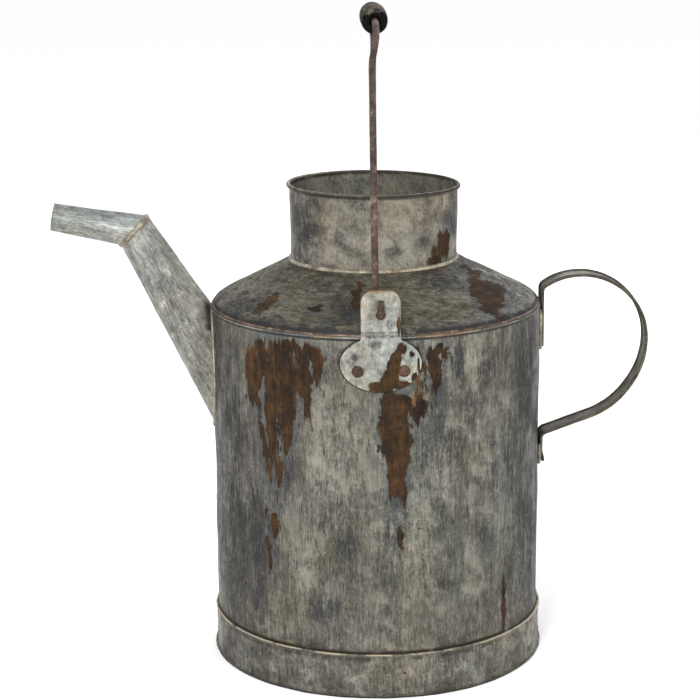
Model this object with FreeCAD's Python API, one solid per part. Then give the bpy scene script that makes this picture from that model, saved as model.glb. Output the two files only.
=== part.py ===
import FreeCAD, Part
import math
import os
from FreeCAD import Vector

# A galvanised sheet-metal watering can with a tin-smith's spout, a fixed strap
# handle and a swinging wire bail. Millimetres, +Z up. The origin is the centre
# of the foot on the floor. The spout points along -X, the handle along +X and
# the two bail ears stand at -Y (front) and +Y (rear).

# ---- driving sizes of the can body ----
BODY_RADIUS = 115.0          # outside of the body wall
BODY_TOP = 250.5             # top edge of the body wall
NECK_RADIUS = 58.0           # outside of the neck collar
NECK_HEIGHT = 52.1           # collar from the shoulder to the top of its rim
SHEET = 0.8                  # gauge of the galvanised sheet

# ---- body wall, base and foot ----
WALL_FOOT = 3.0              # lower edge of the body wall above the floor
LIP_PROUD = 0.6              # how far the wall's top lip stands out
LIP_HEIGHT = 1.6
SEAM_ANGLE = 42.0            # the wall's lap seam, degrees round from the handle
SEAM_WIDTH = 9.0
BASE_HEIGHT = 12.0           # underside of the base pan above the floor
BASE_SOLDER_LEG = 2.5
BAND_GAUGE = 1.2             # foot band sheet
BAND_TOP = 31.1
HEM_PROUD = 0.8              # folded hem at the band's top edge
HEM_HEIGHT = 2.0
FOOT_BEAD_RADIUS = 1.4       # rolled bead that the can stands on
FOOT_BEAD_FLAT = 0.1         # bead worn flat by this much
FOOT_WIRE_RADIUS = 0.6
FOOT_LAP_ANGLE = -70.0       # lap of the foot band, degrees round from the handle
FOOT_RIVET_COUNT = 16        # rivets in the low row round the foot
FOOT_RIVET_LOW = 7.2
FOOT_RIVET_HIGH = 23.5       # second rivet of the band's lap
FOOT_RIVET_HEAD = 2.0        # head radius
FOOT_RIVET_SHANK = 1.3
RIVET_REACH = 4.0            # depth kept free inside the wall for a rivet's hole

# ---- shoulder and neck ----
SHOULDER_SLOPE = 27.36       # degrees down from level
SHOULDER_BEND = 4.0          # outer radius of the bend at the shoulder's edge
SHOULDER_BEND_RISE = 0.3     # the bend starts this far above the wall's lip
SHOULDER_SKIRT = 3.0         # how far the shoulder tucks inside the wall
SHOULDER_SOLDER = 1.5
NECK_TUCK = 6.0              # collar below the shoulder, inside the can
RIM_BEAD_RADIUS = 1.4
RIM_WIRE_RADIUS = 0.6
NECK_SOLDER_LEG = 2.0

# ---- spout ----
SPOUT_RISE = 60.1            # lower tube above level, degrees
SPOUT_ROOT_DROP = 39.2       # wall top down to where the tube's axis meets the wall
SPOUT_ROOT_RADIUS = 20.6     # outside of the tube there
SPOUT_TUBE_LENGTH = 105.5    # from the wall to the elbow, along the axis
SPOUT_ELBOW_RADIUS = 13.1    # outside of the tube at the elbow
MITRE_ANGLE = 46.3           # mitre cut of the elbow, degrees from level
NOZZLE_RISE = 9.8            # nozzle above level, degrees
NOZZLE_LENGTH = 57.2
NOZZLE_TIP_RADIUS = 9.2
ELBOW_SOLDER_RADIUS = 1.2
SPOUT_SOLDER_WIDTH = 2.2
SPOUT_SOLDER_THICK = 1.5

# ---- strap handle ----
STRAP_WIDTH = 20.0
STRAP_GAUGE = 0.5
STRAP_BEAD_RADIUS = 1.2      # wired edge of the strap
STRAP_WIRE_RADIUS = 0.7
HANDLE_REACH = 73.5          # from the tabs to the strap's farthest point
HANDLE_CROWN_RADIUS = 46.0
HANDLE_BELLY_RADIUS = 60.0
HANDLE_BELLY_TURN = 70.0     # degrees turned by the lower arc
HANDLE_CENTRE_DROP = 28.0    # wall top down to the strap's farthest point
HANDLE_TAB_BEND = 5.0
UPPER_TAB_DROP = 32.5        # wall top down to the foot of the upper tab
LOWER_TAB_DROP = 116.5       # wall top down to the foot of the lower tab
HANDLE_SOLDER_SIDE = 1.5     # solder shown beside each tab
UPPER_SOLDER_HEIGHT = 28.0
LOWER_SOLDER_HEIGHT = 12.0

# ---- bail ears and their rivets ----
EAR_GAUGE = 1.4
EAR_LIP_GAP = 0.2            # upper tab to the wall's lip
EAR_HALF_WIDTH = 26.7
EAR_HALF_HEIGHT = 18.4
EAR_CENTRE_DROP = 18.3       # wall top down to the middle of the oval plate
EAR_TAB_WIDTH = 26.0
EAR_TAB_RISE = 31.5          # wall top up to the tab's top
EAR_TAB_CORNER = 9.0
EAR_JOGGLE_DROP = 5.5        # wall top down to the start of the joggle
EAR_JOGGLE_HEIGHT = 3.0
EAR_RIVET_SPACING = 30.3
EAR_RIVET_DROP = 22.9        # wall top down to the rivets
EAR_RIVET_HEAD = 4.0
EAR_RIVET_SHANK = 2.0

# ---- bail and grip ----
WIRE_RADIUS = 2.25
PIVOT_RISE = 15.0            # wall top up to the bail's pivot
PIVOT_CLEARANCE = 1.05       # wire surface to the hole's edge, all round
LEG_GAP = 2.3                # ear to the wire leg inside it
HOOK_GAP = 0.5               # ear to the turned-up end outside it
HOOK_RISE = 10.0             # turned-up end above the pivot
BAIL_REACH = 182.0           # pivot to the centre of the wire at the grip
GRIP_LENGTH = 66.0
GRIP_RADIUS = 9.4
GRIP_END_RADIUS = 8.4
GRIP_ROUND = 3.5             # rounding at each end
GRIP_BORE_CLEARANCE = 0.6
GRIP_END_GAP = 2.0           # grip to the start of the wire's bends
GRIP_GROOVE_INSET = 9.0
GRIP_GROOVE_WIDTH = 1.4

# ---- places worked out from the sizes ----
UP = Vector(0, 0, 1)
ORIGIN = Vector(0, 0, 0)
WALL_INSIDE = BODY_RADIUS - SHEET
SPOUT_ROOT_HEIGHT = BODY_TOP - SPOUT_ROOT_DROP
HANDLE_CENTRE_HEIGHT = BODY_TOP - HANDLE_CENTRE_DROP
UPPER_TAB_FOOT = BODY_TOP - UPPER_TAB_DROP
LOWER_TAB_FOOT = BODY_TOP - LOWER_TAB_DROP
EAR_CENTRE_HEIGHT = BODY_TOP - EAR_CENTRE_DROP
EAR_TAB_TOP = BODY_TOP + EAR_TAB_RISE
EAR_JOGGLE_FOOT = BODY_TOP - EAR_JOGGLE_DROP
EAR_RIVET_HEIGHT = BODY_TOP - EAR_RIVET_DROP
PIVOT_HEIGHT = BODY_TOP + PIVOT_RISE
BAIL_TOP = PIVOT_HEIGHT + BAIL_REACH
BAND_OUTSIDE = BODY_RADIUS + BAND_GAUGE
NECK_INSIDE = NECK_RADIUS - SHEET
EAR_TAB_INSIDE = BODY_RADIUS + LIP_PROUD + EAR_LIP_GAP
EAR_TAB_OUTSIDE = EAR_TAB_INSIDE + EAR_GAUGE
HANDLE_TAB_X = BODY_RADIUS + LIP_PROUD + STRAP_BEAD_RADIUS
HOOK_Y = EAR_TAB_OUTSIDE + HOOK_GAP + WIRE_RADIUS
LEG_Y = EAR_TAB_INSIDE - LEG_GAP - WIRE_RADIUS
GRIP_BORE = WIRE_RADIUS + GRIP_BORE_CLEARANCE


# ---- small builders ----
def tube(outer, inner, bottom, top):
    """Upright round tube."""
    height = top - bottom
    base = Vector(0, 0, bottom)
    hole = Part.makeCylinder(inner, height, base)
    return Part.makeCylinder(outer, height, base).cut(hole)


def turned(corners):
    """Solid turned round Z from the (radius, height) corners of its section."""
    points = [Vector(radius, 0, height) for radius, height in corners]
    wire = Part.makePolygon(points + [points[0]])
    return Part.Face(wire).revolve(ORIGIN, UP, 360)


def ring(radius, height, thickness):
    """Round ring of wire or solder lying level."""
    return Part.makeTorus(radius, thickness, Vector(0, 0, height))


def round_the_can(shape, angle, height):
    """Move a shape built along +X from the can's axis to its angle and height."""
    moved = shape.copy()
    moved.rotate(ORIGIN, UP, angle)
    moved.translate(Vector(0, 0, height))
    return moved


def rivet(head_radius, shank_radius, seat, tail_seat):
    """Rivet along +X: domed head on the seat radius, hammered tail inside."""
    head_height = head_radius * 0.55
    ball_radius = (head_radius ** 2 + head_height ** 2) / (2 * head_height)
    ball_centre = Vector(seat + head_height - ball_radius, 0, 0)
    dome = Part.makeSphere(ball_radius, ball_centre)
    head_zone = Part.makeCylinder(head_radius, head_height, Vector(seat, 0, 0), Vector(1, 0, 0))
    head = dome.common(head_zone)
    tail_length = shank_radius * 0.6
    tail_start = Vector(tail_seat - tail_length, 0, 0)
    shank = Part.makeCylinder(shank_radius, seat - tail_start.x, tail_start, Vector(1, 0, 0))
    tail = Part.makeCylinder(shank_radius * 1.5, tail_length, tail_start, Vector(1, 0, 0))
    inside = Part.makeCylinder(tail_seat, 4 * head_radius, Vector(0, 0, -2 * head_radius))
    return head.fuse([shank, tail.common(inside)]).removeSplitter()


def rivet_hole(shank_radius):
    """Hole for a rivet, along +X through everything near the wall."""
    start = Vector(WALL_INSIDE - RIVET_REACH, 0, 0)
    return Part.makeCylinder(shank_radius, 3 * RIVET_REACH, start, Vector(1, 0, 0))


def swept(path, profile):
    """Solid swept along a smooth path from a closed profile at its start."""
    return Part.Wire(path).makePipeShell([profile], True, False)


def arc(centre, radius, start, end, side, up):
    """Arc in the plane of two unit vectors, from one angle to another in degrees."""
    def spot(angle):
        turn = math.radians(angle)
        return centre + side * (radius * math.cos(turn)) + up * (radius * math.sin(turn))
    return Part.Arc(spot(start), spot((start + end) / 2), spot(end)).toShape()


# ---- body, base and foot ----
def ear_rivet_places():
    """Angle of each ear rivet round the can: two on each ear."""
    half_turn = math.degrees(math.asin(EAR_RIVET_SPACING / 2 / BODY_RADIUS))
    return [ear + side * half_turn for ear in (-90, 90) for side in (-1, 1)]


def foot_rivet_angles():
    """Angle of each rivet in the low row round the foot, from the band's lap on."""
    step = 360 / FOOT_RIVET_COUNT
    return [FOOT_LAP_ANGLE + step * number for number in range(FOOT_RIVET_COUNT)]


def cut_rivet_holes(shape):
    """Drill the holes for the ear rivets and the foot rivets."""
    holes = [round_the_can(rivet_hole(EAR_RIVET_SHANK), angle, EAR_RIVET_HEIGHT)
             for angle in ear_rivet_places()]
    foot_hole = rivet_hole(FOOT_RIVET_SHANK)
    holes += [round_the_can(foot_hole, angle, FOOT_RIVET_LOW) for angle in foot_rivet_angles()]
    holes.append(round_the_can(foot_hole, FOOT_LAP_ANGLE, FOOT_RIVET_HIGH))
    return shape.cut(holes)


def make_body_wall():
    """Rolled wall with a proud top lip, an outside lap seam and the spout hole."""
    wall = tube(BODY_RADIUS, WALL_INSIDE, WALL_FOOT, BODY_TOP)
    lip = tube(BODY_RADIUS + LIP_PROUD, WALL_INSIDE, BODY_TOP - LIP_HEIGHT, BODY_TOP)
    seam_height = BODY_TOP - BAND_TOP
    seam_block = Part.makeBox(BODY_RADIUS, SEAM_WIDTH, seam_height,
                              Vector(BODY_RADIUS / 2, -SEAM_WIDTH / 2, 0))
    seam_shell = tube(BODY_RADIUS + SHEET, WALL_INSIDE, 0, seam_height)
    seam = round_the_can(seam_block.common(seam_shell), SEAM_ANGLE, BAND_TOP)
    joined = wall.fuse([lip, seam]).removeSplitter()
    return cut_rivet_holes(joined).cut(spout_tube_bore())


def make_base_pan():
    """Flat base with a turned-down flange inside the wall."""
    top = BASE_HEIGHT + SHEET
    flange = WALL_INSIDE - SHEET
    pan = turned([(0, BASE_HEIGHT), (flange, BASE_HEIGHT), (flange, WALL_FOOT),
                  (WALL_INSIDE, WALL_FOOT), (WALL_INSIDE, top), (0, top)])
    return cut_rivet_holes(pan)


def make_base_solder():
    """Fillet of solder that seals the base pan to the wall inside the can."""
    floor = BASE_HEIGHT + SHEET
    return turned([(WALL_INSIDE, floor), (WALL_INSIDE, floor + BASE_SOLDER_LEG),
                   (WALL_INSIDE - BASE_SOLDER_LEG, floor)])


def foot_bead_height():
    """Centre of the rolled foot bead above the floor."""
    return FOOT_BEAD_RADIUS - FOOT_BEAD_FLAT


def foot_bead_centre():
    """Radius of the rolled foot bead's centre line."""
    return BODY_RADIUS + FOOT_BEAD_RADIUS


def make_foot_band():
    """Band round the foot with a folded hem above and a rolled bead below."""
    band = tube(BAND_OUTSIDE, BODY_RADIUS, foot_bead_height(), BAND_TOP)
    hem = tube(BAND_OUTSIDE + HEM_PROUD, BODY_RADIUS, BAND_TOP - HEM_HEIGHT, BAND_TOP)
    bead = ring(foot_bead_centre(), foot_bead_height(), FOOT_BEAD_RADIUS)
    below_floor = Part.makeCylinder(2 * BODY_RADIUS, BODY_RADIUS, Vector(0, 0, -BODY_RADIUS))
    joined = band.fuse([hem, bead]).cut([below_floor, make_foot_edge_wire()])
    return cut_rivet_holes(joined.removeSplitter())


def make_foot_edge_wire():
    """Wire that the foot band's bottom edge is rolled round."""
    return ring(foot_bead_centre(), foot_bead_height(), FOOT_WIRE_RADIUS)


def make_foot_band_rivets():
    """Low row through band, wall and base flange, and one above in the band's lap."""
    low = rivet(FOOT_RIVET_HEAD, FOOT_RIVET_SHANK, BAND_OUTSIDE, WALL_INSIDE - SHEET)
    high = rivet(FOOT_RIVET_HEAD, FOOT_RIVET_SHANK, BAND_OUTSIDE, WALL_INSIDE)
    row = [round_the_can(low, angle, FOOT_RIVET_LOW) for angle in foot_rivet_angles()]
    return Part.makeCompound(row + [round_the_can(high, FOOT_LAP_ANGLE, FOOT_RIVET_HIGH)])


# ---- shoulder and neck ----
def shoulder_bend_centre():
    """Centre of the round bend at the shoulder's edge, in the XZ plane."""
    return Vector(WALL_INSIDE - SHOULDER_BEND, 0, BODY_TOP + SHOULDER_BEND_RISE)


def shoulder_height(radius):
    """Height of the shoulder's sloping outer face at a radius."""
    slope = math.radians(SHOULDER_SLOPE)
    centre = shoulder_bend_centre()
    slope_top = centre.z + SHOULDER_BEND / math.cos(slope)
    return slope_top - math.tan(slope) * (radius - centre.x)


def neck_base():
    """Height where the shoulder meets the collar."""
    return shoulder_height(NECK_RADIUS)


def neck_top():
    """Height of the top of the rolled neck rim."""
    return neck_base() + NECK_HEIGHT


def make_shoulder_cone():
    """Sloping shoulder that bends down and tucks inside the body wall."""
    tilt = 90 - SHOULDER_SLOPE
    centre = shoulder_bend_centre()
    across = Vector(1, 0, 0)
    outer = arc(centre, SHOULDER_BEND, tilt, 0, across, UP)
    inner = arc(centre, SHOULDER_BEND - SHEET, 0, tilt, across, UP)
    skirt_foot = BODY_TOP - SHOULDER_SKIRT
    drop = SHEET / math.cos(math.radians(SHOULDER_SLOPE))
    corners = [outer.Vertexes[-1].Point,
               Vector(WALL_INSIDE, 0, skirt_foot),
               Vector(WALL_INSIDE - SHEET, 0, skirt_foot),
               inner.Vertexes[0].Point]
    ends = [inner.Vertexes[-1].Point,
            Vector(NECK_RADIUS, 0, neck_base() - drop),
            Vector(NECK_RADIUS, 0, neck_base()),
            outer.Vertexes[0].Point]
    edges = [outer] + Part.makePolygon(corners).Edges
    edges += [inner] + Part.makePolygon(ends).Edges
    section = Part.Face(Part.Wire(edges))
    return section.revolve(ORIGIN, UP, 360).cut(spout_tube_bore())


def make_shoulder_solder():
    """Thin run of solder between the wall's lip and the shoulder."""
    run = turned([(BODY_RADIUS, BODY_TOP), (BODY_RADIUS, BODY_TOP + 0.4 * SHOULDER_SOLDER),
                  (WALL_INSIDE - SHEET / 2, BODY_TOP + SHOULDER_SOLDER),
                  (WALL_INSIDE - SHEET / 2, BODY_TOP)])
    return run.cut(make_shoulder_cone())


def rim_height():
    """Centre of the neck's rolled rim."""
    return neck_top() - RIM_BEAD_RADIUS


def rim_centre():
    """Radius of the rolled rim's centre line."""
    return NECK_INSIDE + RIM_BEAD_RADIUS


def make_neck_collar():
    """Collar with its top edge rolled outward round a wire."""
    collar = tube(NECK_RADIUS, NECK_INSIDE, neck_base() - NECK_TUCK, rim_height())
    bead = ring(rim_centre(), rim_height(), RIM_BEAD_RADIUS)
    return collar.fuse(bead).removeSplitter().cut(make_neck_rim_wire())


def make_neck_rim_wire():
    """Wire inside the neck's rolled rim."""
    return ring(rim_centre(), rim_height(), RIM_WIRE_RADIUS)


def make_neck_solder():
    """Fillet of solder between the collar and the shoulder."""
    reach = NECK_RADIUS + NECK_SOLDER_LEG
    return turned([(NECK_RADIUS, neck_base()), (NECK_RADIUS, neck_base() + NECK_SOLDER_LEG),
                   (reach, shoulder_height(reach))])


# ---- spout ----
def spout_direction(rise):
    """Unit vector up and away from the can along -X."""
    turn = math.radians(rise)
    return Vector(-math.cos(turn), 0, math.sin(turn))


def spout_root():
    """Point where the lower tube's axis meets the wall."""
    return Vector(-BODY_RADIUS, 0, SPOUT_ROOT_HEIGHT)


def elbow_centre():
    """Point where the two spout axes meet."""
    return spout_root() + spout_direction(SPOUT_RISE) * SPOUT_TUBE_LENGTH


def spout_cone(gauge):
    """Lower tube as a full cone, thinner by a gauge, long at both ends."""
    along = spout_direction(SPOUT_RISE)
    taper = (SPOUT_ROOT_RADIUS - SPOUT_ELBOW_RADIUS) / SPOUT_TUBE_LENGTH
    inward = 2.2 * SPOUT_ROOT_RADIUS
    beyond = 2 * SPOUT_ELBOW_RADIUS
    start = spout_root() - along * inward
    wide = SPOUT_ROOT_RADIUS + taper * inward - gauge
    narrow = SPOUT_ELBOW_RADIUS - taper * beyond - gauge
    length = inward + SPOUT_TUBE_LENGTH + beyond
    return Part.makeCone(wide, narrow, length, start, along)


def beyond_mitre():
    """Big block on the nozzle's side of the elbow's mitre cut."""
    size = 4 * SPOUT_TUBE_LENGTH
    block = Part.makeBox(size, size, size, Vector(-size, -size / 2, 0))
    block.rotate(ORIGIN, Vector(0, -1, 0), MITRE_ANGLE - 90)
    turn = math.radians(MITRE_ANGLE)
    lift = Vector(math.cos(turn), 0, math.sin(turn)) * (size / 2)
    block.translate(elbow_centre() - lift)
    return block


def spout_tube_bore():
    """Inside of the lower tube, cut through the wall and trimmed at the mitre."""
    return spout_cone(SHEET).cut(beyond_mitre())


def make_spout_lower_tube():
    """Tapered lower tube, scribed to the wall and mitred at the elbow."""
    hull = spout_cone(0).cut([beyond_mitre(), body_core()])
    return hull.cut(spout_cone(SHEET))


def body_core():
    """The can's body as one solid cylinder, with its lip."""
    core = Part.makeCylinder(BODY_RADIUS, BODY_TOP)
    lip = Part.makeCylinder(BODY_RADIUS + LIP_PROUD, LIP_HEIGHT,
                            Vector(0, 0, BODY_TOP - LIP_HEIGHT))
    return core.fuse(lip)


def mitre_outline(gauge):
    """Closed wire round the lower tube at the mitre cut."""
    trimmed = spout_cone(gauge).cut(beyond_mitre())
    along = spout_direction(SPOUT_RISE)
    faces = [face for face in trimmed.Faces if isinstance(face.Surface, Part.Plane)]
    top = max(faces, key=lambda face: face.CenterOfMass.dot(along))
    return top.OuterWire


def nozzle_solid(gauge):
    """Nozzle as a full solid, thinner by a gauge."""
    along = spout_direction(NOZZLE_RISE)
    tip = elbow_centre() + along * NOZZLE_LENGTH
    circle = Part.Circle(tip, along, NOZZLE_TIP_RADIUS - gauge).toShape()
    return Part.makeLoft([mitre_outline(gauge), Part.Wire(circle)], True, True)


def make_spout_nozzle():
    """Tapered nozzle from the mitred elbow to the square-cut tip."""
    return nozzle_solid(0).cut(nozzle_solid(SHEET))


def make_elbow_solder():
    """Bead of solder round the elbow's mitre joint."""
    path = mitre_outline(0)
    start = path.Vertexes[0].Point
    tangent = path.Edges[0].tangentAt(path.Edges[0].FirstParameter)
    circle = Part.Wire(Part.Circle(start, tangent, ELBOW_SOLDER_RADIUS).toShape())
    bead = path.makePipeShell([circle], True, False)
    return bead.cut([spout_cone(0).cut(beyond_mitre()), nozzle_solid(0)])


def make_spout_base_solder():
    """Solder run round the joint between the lower tube and the wall."""
    wide = spout_cone(-SPOUT_SOLDER_WIDTH)
    shell = tube(BODY_RADIUS + SPOUT_SOLDER_THICK, BODY_RADIUS, BAND_TOP, BODY_TOP - LIP_HEIGHT)
    near_side = Part.makeBox(2 * BODY_RADIUS, 2 * BODY_RADIUS, BODY_TOP,
                             Vector(-2 * BODY_RADIUS, -BODY_RADIUS, 0))
    return shell.common(wide).common(near_side).cut(spout_cone(0))


# ---- strap handle ----
def handle_path(side_shift):
    """Edges of the strap's centre line in a plane beside the XZ plane."""
    across = Vector(1, 0, 0)
    far_x = HANDLE_TAB_X + HANDLE_REACH
    crown = Vector(far_x - HANDLE_CROWN_RADIUS, side_shift, HANDLE_CENTRE_HEIGHT)
    belly = Vector(far_x - HANDLE_BELLY_RADIUS, side_shift, HANDLE_CENTRE_HEIGHT)
    bend = HANDLE_TAB_BEND
    # The upper tab bend touches the tab's line and, from inside, the crown arc.
    upper_gap = crown.x - HANDLE_TAB_X - bend
    crown_turn = math.degrees(math.acos(upper_gap / (HANDLE_CROWN_RADIUS - bend)))
    upper_rise = (HANDLE_CROWN_RADIUS - bend) * math.sin(math.radians(crown_turn))
    upper_centre = Vector(HANDLE_TAB_X + bend, side_shift, crown.z + upper_rise)
    upper_bend = arc(upper_centre, bend, 180, 180 - crown_turn, across, UP)
    upper_end = Vector(HANDLE_TAB_X, side_shift, UPPER_TAB_FOOT)
    upper_tab = Part.makeLine(upper_end, Vector(HANDLE_TAB_X, side_shift, upper_centre.z))
    crown_arc = arc(crown, HANDLE_CROWN_RADIUS, 180 - crown_turn, 0, across, UP)
    belly_arc = arc(belly, HANDLE_BELLY_RADIUS, 0, -HANDLE_BELLY_TURN, across, UP)
    return [upper_tab, upper_bend, crown_arc, belly_arc] + handle_tail(belly, side_shift)


def handle_tail(belly, side_shift):
    """Straight run, lower bend and lower tab at the end of the belly arc."""
    across = Vector(1, 0, 0)
    turn = math.radians(HANDLE_BELLY_TURN)
    start = belly + Vector(math.cos(turn), 0, -math.sin(turn)) * HANDLE_BELLY_RADIUS
    heading = Vector(-math.sin(turn), 0, -math.cos(turn))
    # The lower bend touches the run from below and the tab's line from outside.
    bend = HANDLE_TAB_BEND
    normal = Vector(math.cos(turn), 0, -math.sin(turn))
    offset_start = start + normal * bend
    steps = (offset_start.x - (HANDLE_TAB_X + bend)) / -heading.x
    centre = offset_start + heading * steps
    run_end = centre - normal * bend
    run = Part.makeLine(start, run_end)
    lower_bend = arc(centre, bend, 180 - HANDLE_BELLY_TURN, 180, across, UP)
    tab_top = Vector(HANDLE_TAB_X, side_shift, centre.z)
    tab = Part.makeLine(tab_top, Vector(HANDLE_TAB_X, side_shift, LOWER_TAB_FOOT))
    return [run, lower_bend, tab]


def strap_edge(radius):
    """Round edge bead, or the wire in it, along both sides of the strap."""
    half = STRAP_WIDTH / 2 - STRAP_BEAD_RADIUS
    edges = []
    for shift in (-half, half):
        path = handle_path(shift)
        start = Vector(HANDLE_TAB_X, shift, UPPER_TAB_FOOT)
        circle = Part.Wire(Part.Circle(start, UP, radius).toShape())
        edges.append(swept(path, circle))
    return edges


def make_handle_strap():
    """Sheet strap with both long edges rolled round a wire."""
    half_width = STRAP_WIDTH / 2 - STRAP_BEAD_RADIUS
    half_gauge = STRAP_GAUGE / 2
    corners = [(-half_gauge, -half_width), (half_gauge, -half_width),
               (half_gauge, half_width), (-half_gauge, half_width)]
    points = [Vector(HANDLE_TAB_X + x, y, UPPER_TAB_FOOT) for x, y in corners]
    section = Part.makePolygon(points + [points[0]])
    web = swept(handle_path(0), section)
    solid = web.fuse(strap_edge(STRAP_BEAD_RADIUS)).removeSplitter()
    return solid.cut(strap_edge(STRAP_WIRE_RADIUS))


def make_handle_edge_wires():
    """The two wires inside the strap's rolled edges."""
    return Part.makeCompound(strap_edge(STRAP_WIRE_RADIUS))


def handle_solder(foot, height):
    """Solder that fills the gap between the wall and a handle tab."""
    width = STRAP_WIDTH + 2 * HANDLE_SOLDER_SIDE
    inner_x = BODY_RADIUS - STRAP_WIDTH
    block = Part.makeBox(HANDLE_TAB_X - inner_x, width, height,
                         Vector(inner_x, -width / 2, foot))
    strap = make_handle_strap().fuse(strap_edge(STRAP_WIRE_RADIUS))
    return block.cut([body_core(), strap])


def make_handle_upper_solder():
    """Solder behind the upper tab."""
    return handle_solder(UPPER_TAB_FOOT, UPPER_SOLDER_HEIGHT)


def make_handle_lower_solder():
    """Solder behind the lower tab."""
    return handle_solder(LOWER_TAB_FOOT, LOWER_SOLDER_HEIGHT)


# ---- bail ears ----
def ear_outline():
    """Front view of an ear as a thick block: oval plate and rounded tab."""
    depth = 2 * BODY_RADIUS
    front = Vector(0, 1, 0)
    oval = Part.Ellipse(Vector(0, 0, EAR_CENTRE_HEIGHT), EAR_HALF_WIDTH, EAR_HALF_HEIGHT)
    oval_wire = Part.Wire(oval.toShape())
    oval_wire.rotate(Vector(0, 0, EAR_CENTRE_HEIGHT), Vector(1, 0, 0), 90)
    plate = Part.Face(oval_wire).extrude(front * -depth)
    tab_height = EAR_TAB_TOP - EAR_CENTRE_HEIGHT
    corner = Vector(-EAR_TAB_WIDTH / 2, -depth, EAR_CENTRE_HEIGHT)
    tab = Part.makeBox(EAR_TAB_WIDTH, depth, tab_height, corner)
    tops = [edge for edge in tab.Edges
            if all(abs(point.Z - EAR_TAB_TOP) < 0.01 for point in edge.Vertexes)
            and abs(edge.Vertexes[0].X - edge.Vertexes[1].X) < 0.01]
    return plate.fuse(tab.makeFillet(EAR_TAB_CORNER, tops))


def make_front_ear():
    """Riveted ear, joggled outward over the lip, with the bail's hole."""
    bend_top = EAR_JOGGLE_FOOT + EAR_JOGGLE_HEIGHT
    foot = EAR_CENTRE_HEIGHT - 2 * EAR_HALF_HEIGHT
    head = EAR_TAB_TOP + EAR_GAUGE
    shell = turned([(BODY_RADIUS, foot), (BODY_RADIUS + EAR_GAUGE, foot),
                    (BODY_RADIUS + EAR_GAUGE, EAR_JOGGLE_FOOT), (EAR_TAB_OUTSIDE, bend_top),
                    (EAR_TAB_OUTSIDE, head), (EAR_TAB_INSIDE, head),
                    (EAR_TAB_INSIDE, bend_top), (BODY_RADIUS, EAR_JOGGLE_FOOT)])
    hole = Part.makeCylinder(WIRE_RADIUS + PIVOT_CLEARANCE, 2 * BODY_RADIUS,
                             Vector(0, 0, PIVOT_HEIGHT), Vector(0, -1, 0))
    return cut_rivet_holes(shell.common(ear_outline()).cut(hole))


def make_rear_ear():
    """The same ear turned half round the can."""
    return round_the_can(make_front_ear(), 180, 0)


def make_ear_rivets():
    """Four rivets that hold the ears to the wall."""
    body = rivet(EAR_RIVET_HEAD, EAR_RIVET_SHANK, BODY_RADIUS + EAR_GAUGE, WALL_INSIDE)
    return Part.makeCompound([round_the_can(body, angle, EAR_RIVET_HEIGHT)
                              for angle in ear_rivet_places()])


# ---- bail and grip ----
def half_bail_path():
    """Wire's centre line from the front turned-up end to the middle of the grip."""
    out = Vector(0, -1, 0)
    bend = 0.46 * (HOOK_Y - LEG_Y)
    straight = GRIP_LENGTH / 2 + GRIP_END_GAP
    crown = LEG_Y - straight
    outer = Vector(0, -(HOOK_Y - bend), PIVOT_HEIGHT + bend)
    inner = Vector(0, -(LEG_Y + bend), PIVOT_HEIGHT + bend)
    top = Vector(0, -straight, BAIL_TOP - crown)
    hook_bend = arc(outer, bend, 0, -90, out, UP)
    leg_bend = arc(inner, bend, 270, 180, out, UP)
    crown_bend = arc(top, crown, 0, 90, out, UP)
    hook_end = Vector(0, -HOOK_Y, PIVOT_HEIGHT + HOOK_RISE)
    return [Part.makeLine(hook_end, Vector(0, -HOOK_Y, outer.z)),
            hook_bend,
            Part.makeLine(Vector(0, outer.y, PIVOT_HEIGHT), Vector(0, inner.y, PIVOT_HEIGHT)),
            leg_bend,
            Part.makeLine(Vector(0, -LEG_Y, inner.z), Vector(0, -LEG_Y, top.z)),
            crown_bend,
            Part.makeLine(Vector(0, -straight, BAIL_TOP), Vector(0, 0, BAIL_TOP))]


def make_bail_wire():
    """Bail bent from one wire, its ends turned up outside the ears."""
    path = half_bail_path()
    start = Vector(0, -HOOK_Y, PIVOT_HEIGHT + HOOK_RISE)
    circle = Part.Wire(Part.Circle(start, UP, WIRE_RADIUS).toShape())
    half = swept(path, circle)
    other = half.mirror(ORIGIN, Vector(0, 1, 0))
    return half.fuse(other).removeSplitter()


def make_bail_grip():
    """Turned wooden grip, fuller in the middle, bored for the wire."""
    half = GRIP_LENGTH / 2
    groove = half - GRIP_GROOVE_INSET
    shoulder = half - GRIP_ROUND
    rim = GRIP_END_RADIUS - GRIP_ROUND
    side = Vector(0, 1, 0)
    near = Vector(0, -shoulder, rim)
    far = Vector(0, shoulder, rim)
    swell = Part.Arc(Vector(0, -shoulder, GRIP_END_RADIUS), Vector(0, 0, GRIP_RADIUS),
                     Vector(0, shoulder, GRIP_END_RADIUS)).toShape()
    bore = [Vector(0, half, rim), Vector(0, half, GRIP_BORE),
            Vector(0, -half, GRIP_BORE), Vector(0, -half, rim)]
    edges = [arc(near, GRIP_ROUND, 180, 90, side, UP), swell,
             arc(far, GRIP_ROUND, 90, 0, side, UP)] + Part.makePolygon(bore).Edges
    body = Part.Face(Part.Wire(edges)).revolve(ORIGIN, side, 360)
    rings = []
    for place in (-groove, groove):
        start = Vector(0, place - GRIP_GROOVE_WIDTH / 2, 0)
        outer = Part.makeCylinder(2 * GRIP_RADIUS, GRIP_GROOVE_WIDTH, start, side)
        core = Part.makeCylinder(GRIP_END_RADIUS, GRIP_GROOVE_WIDTH, start, side)
        rings.append(outer.cut(core))
    grip = body.cut(rings)
    grip.translate(Vector(0, 0, BAIL_TOP))
    return grip


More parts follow.
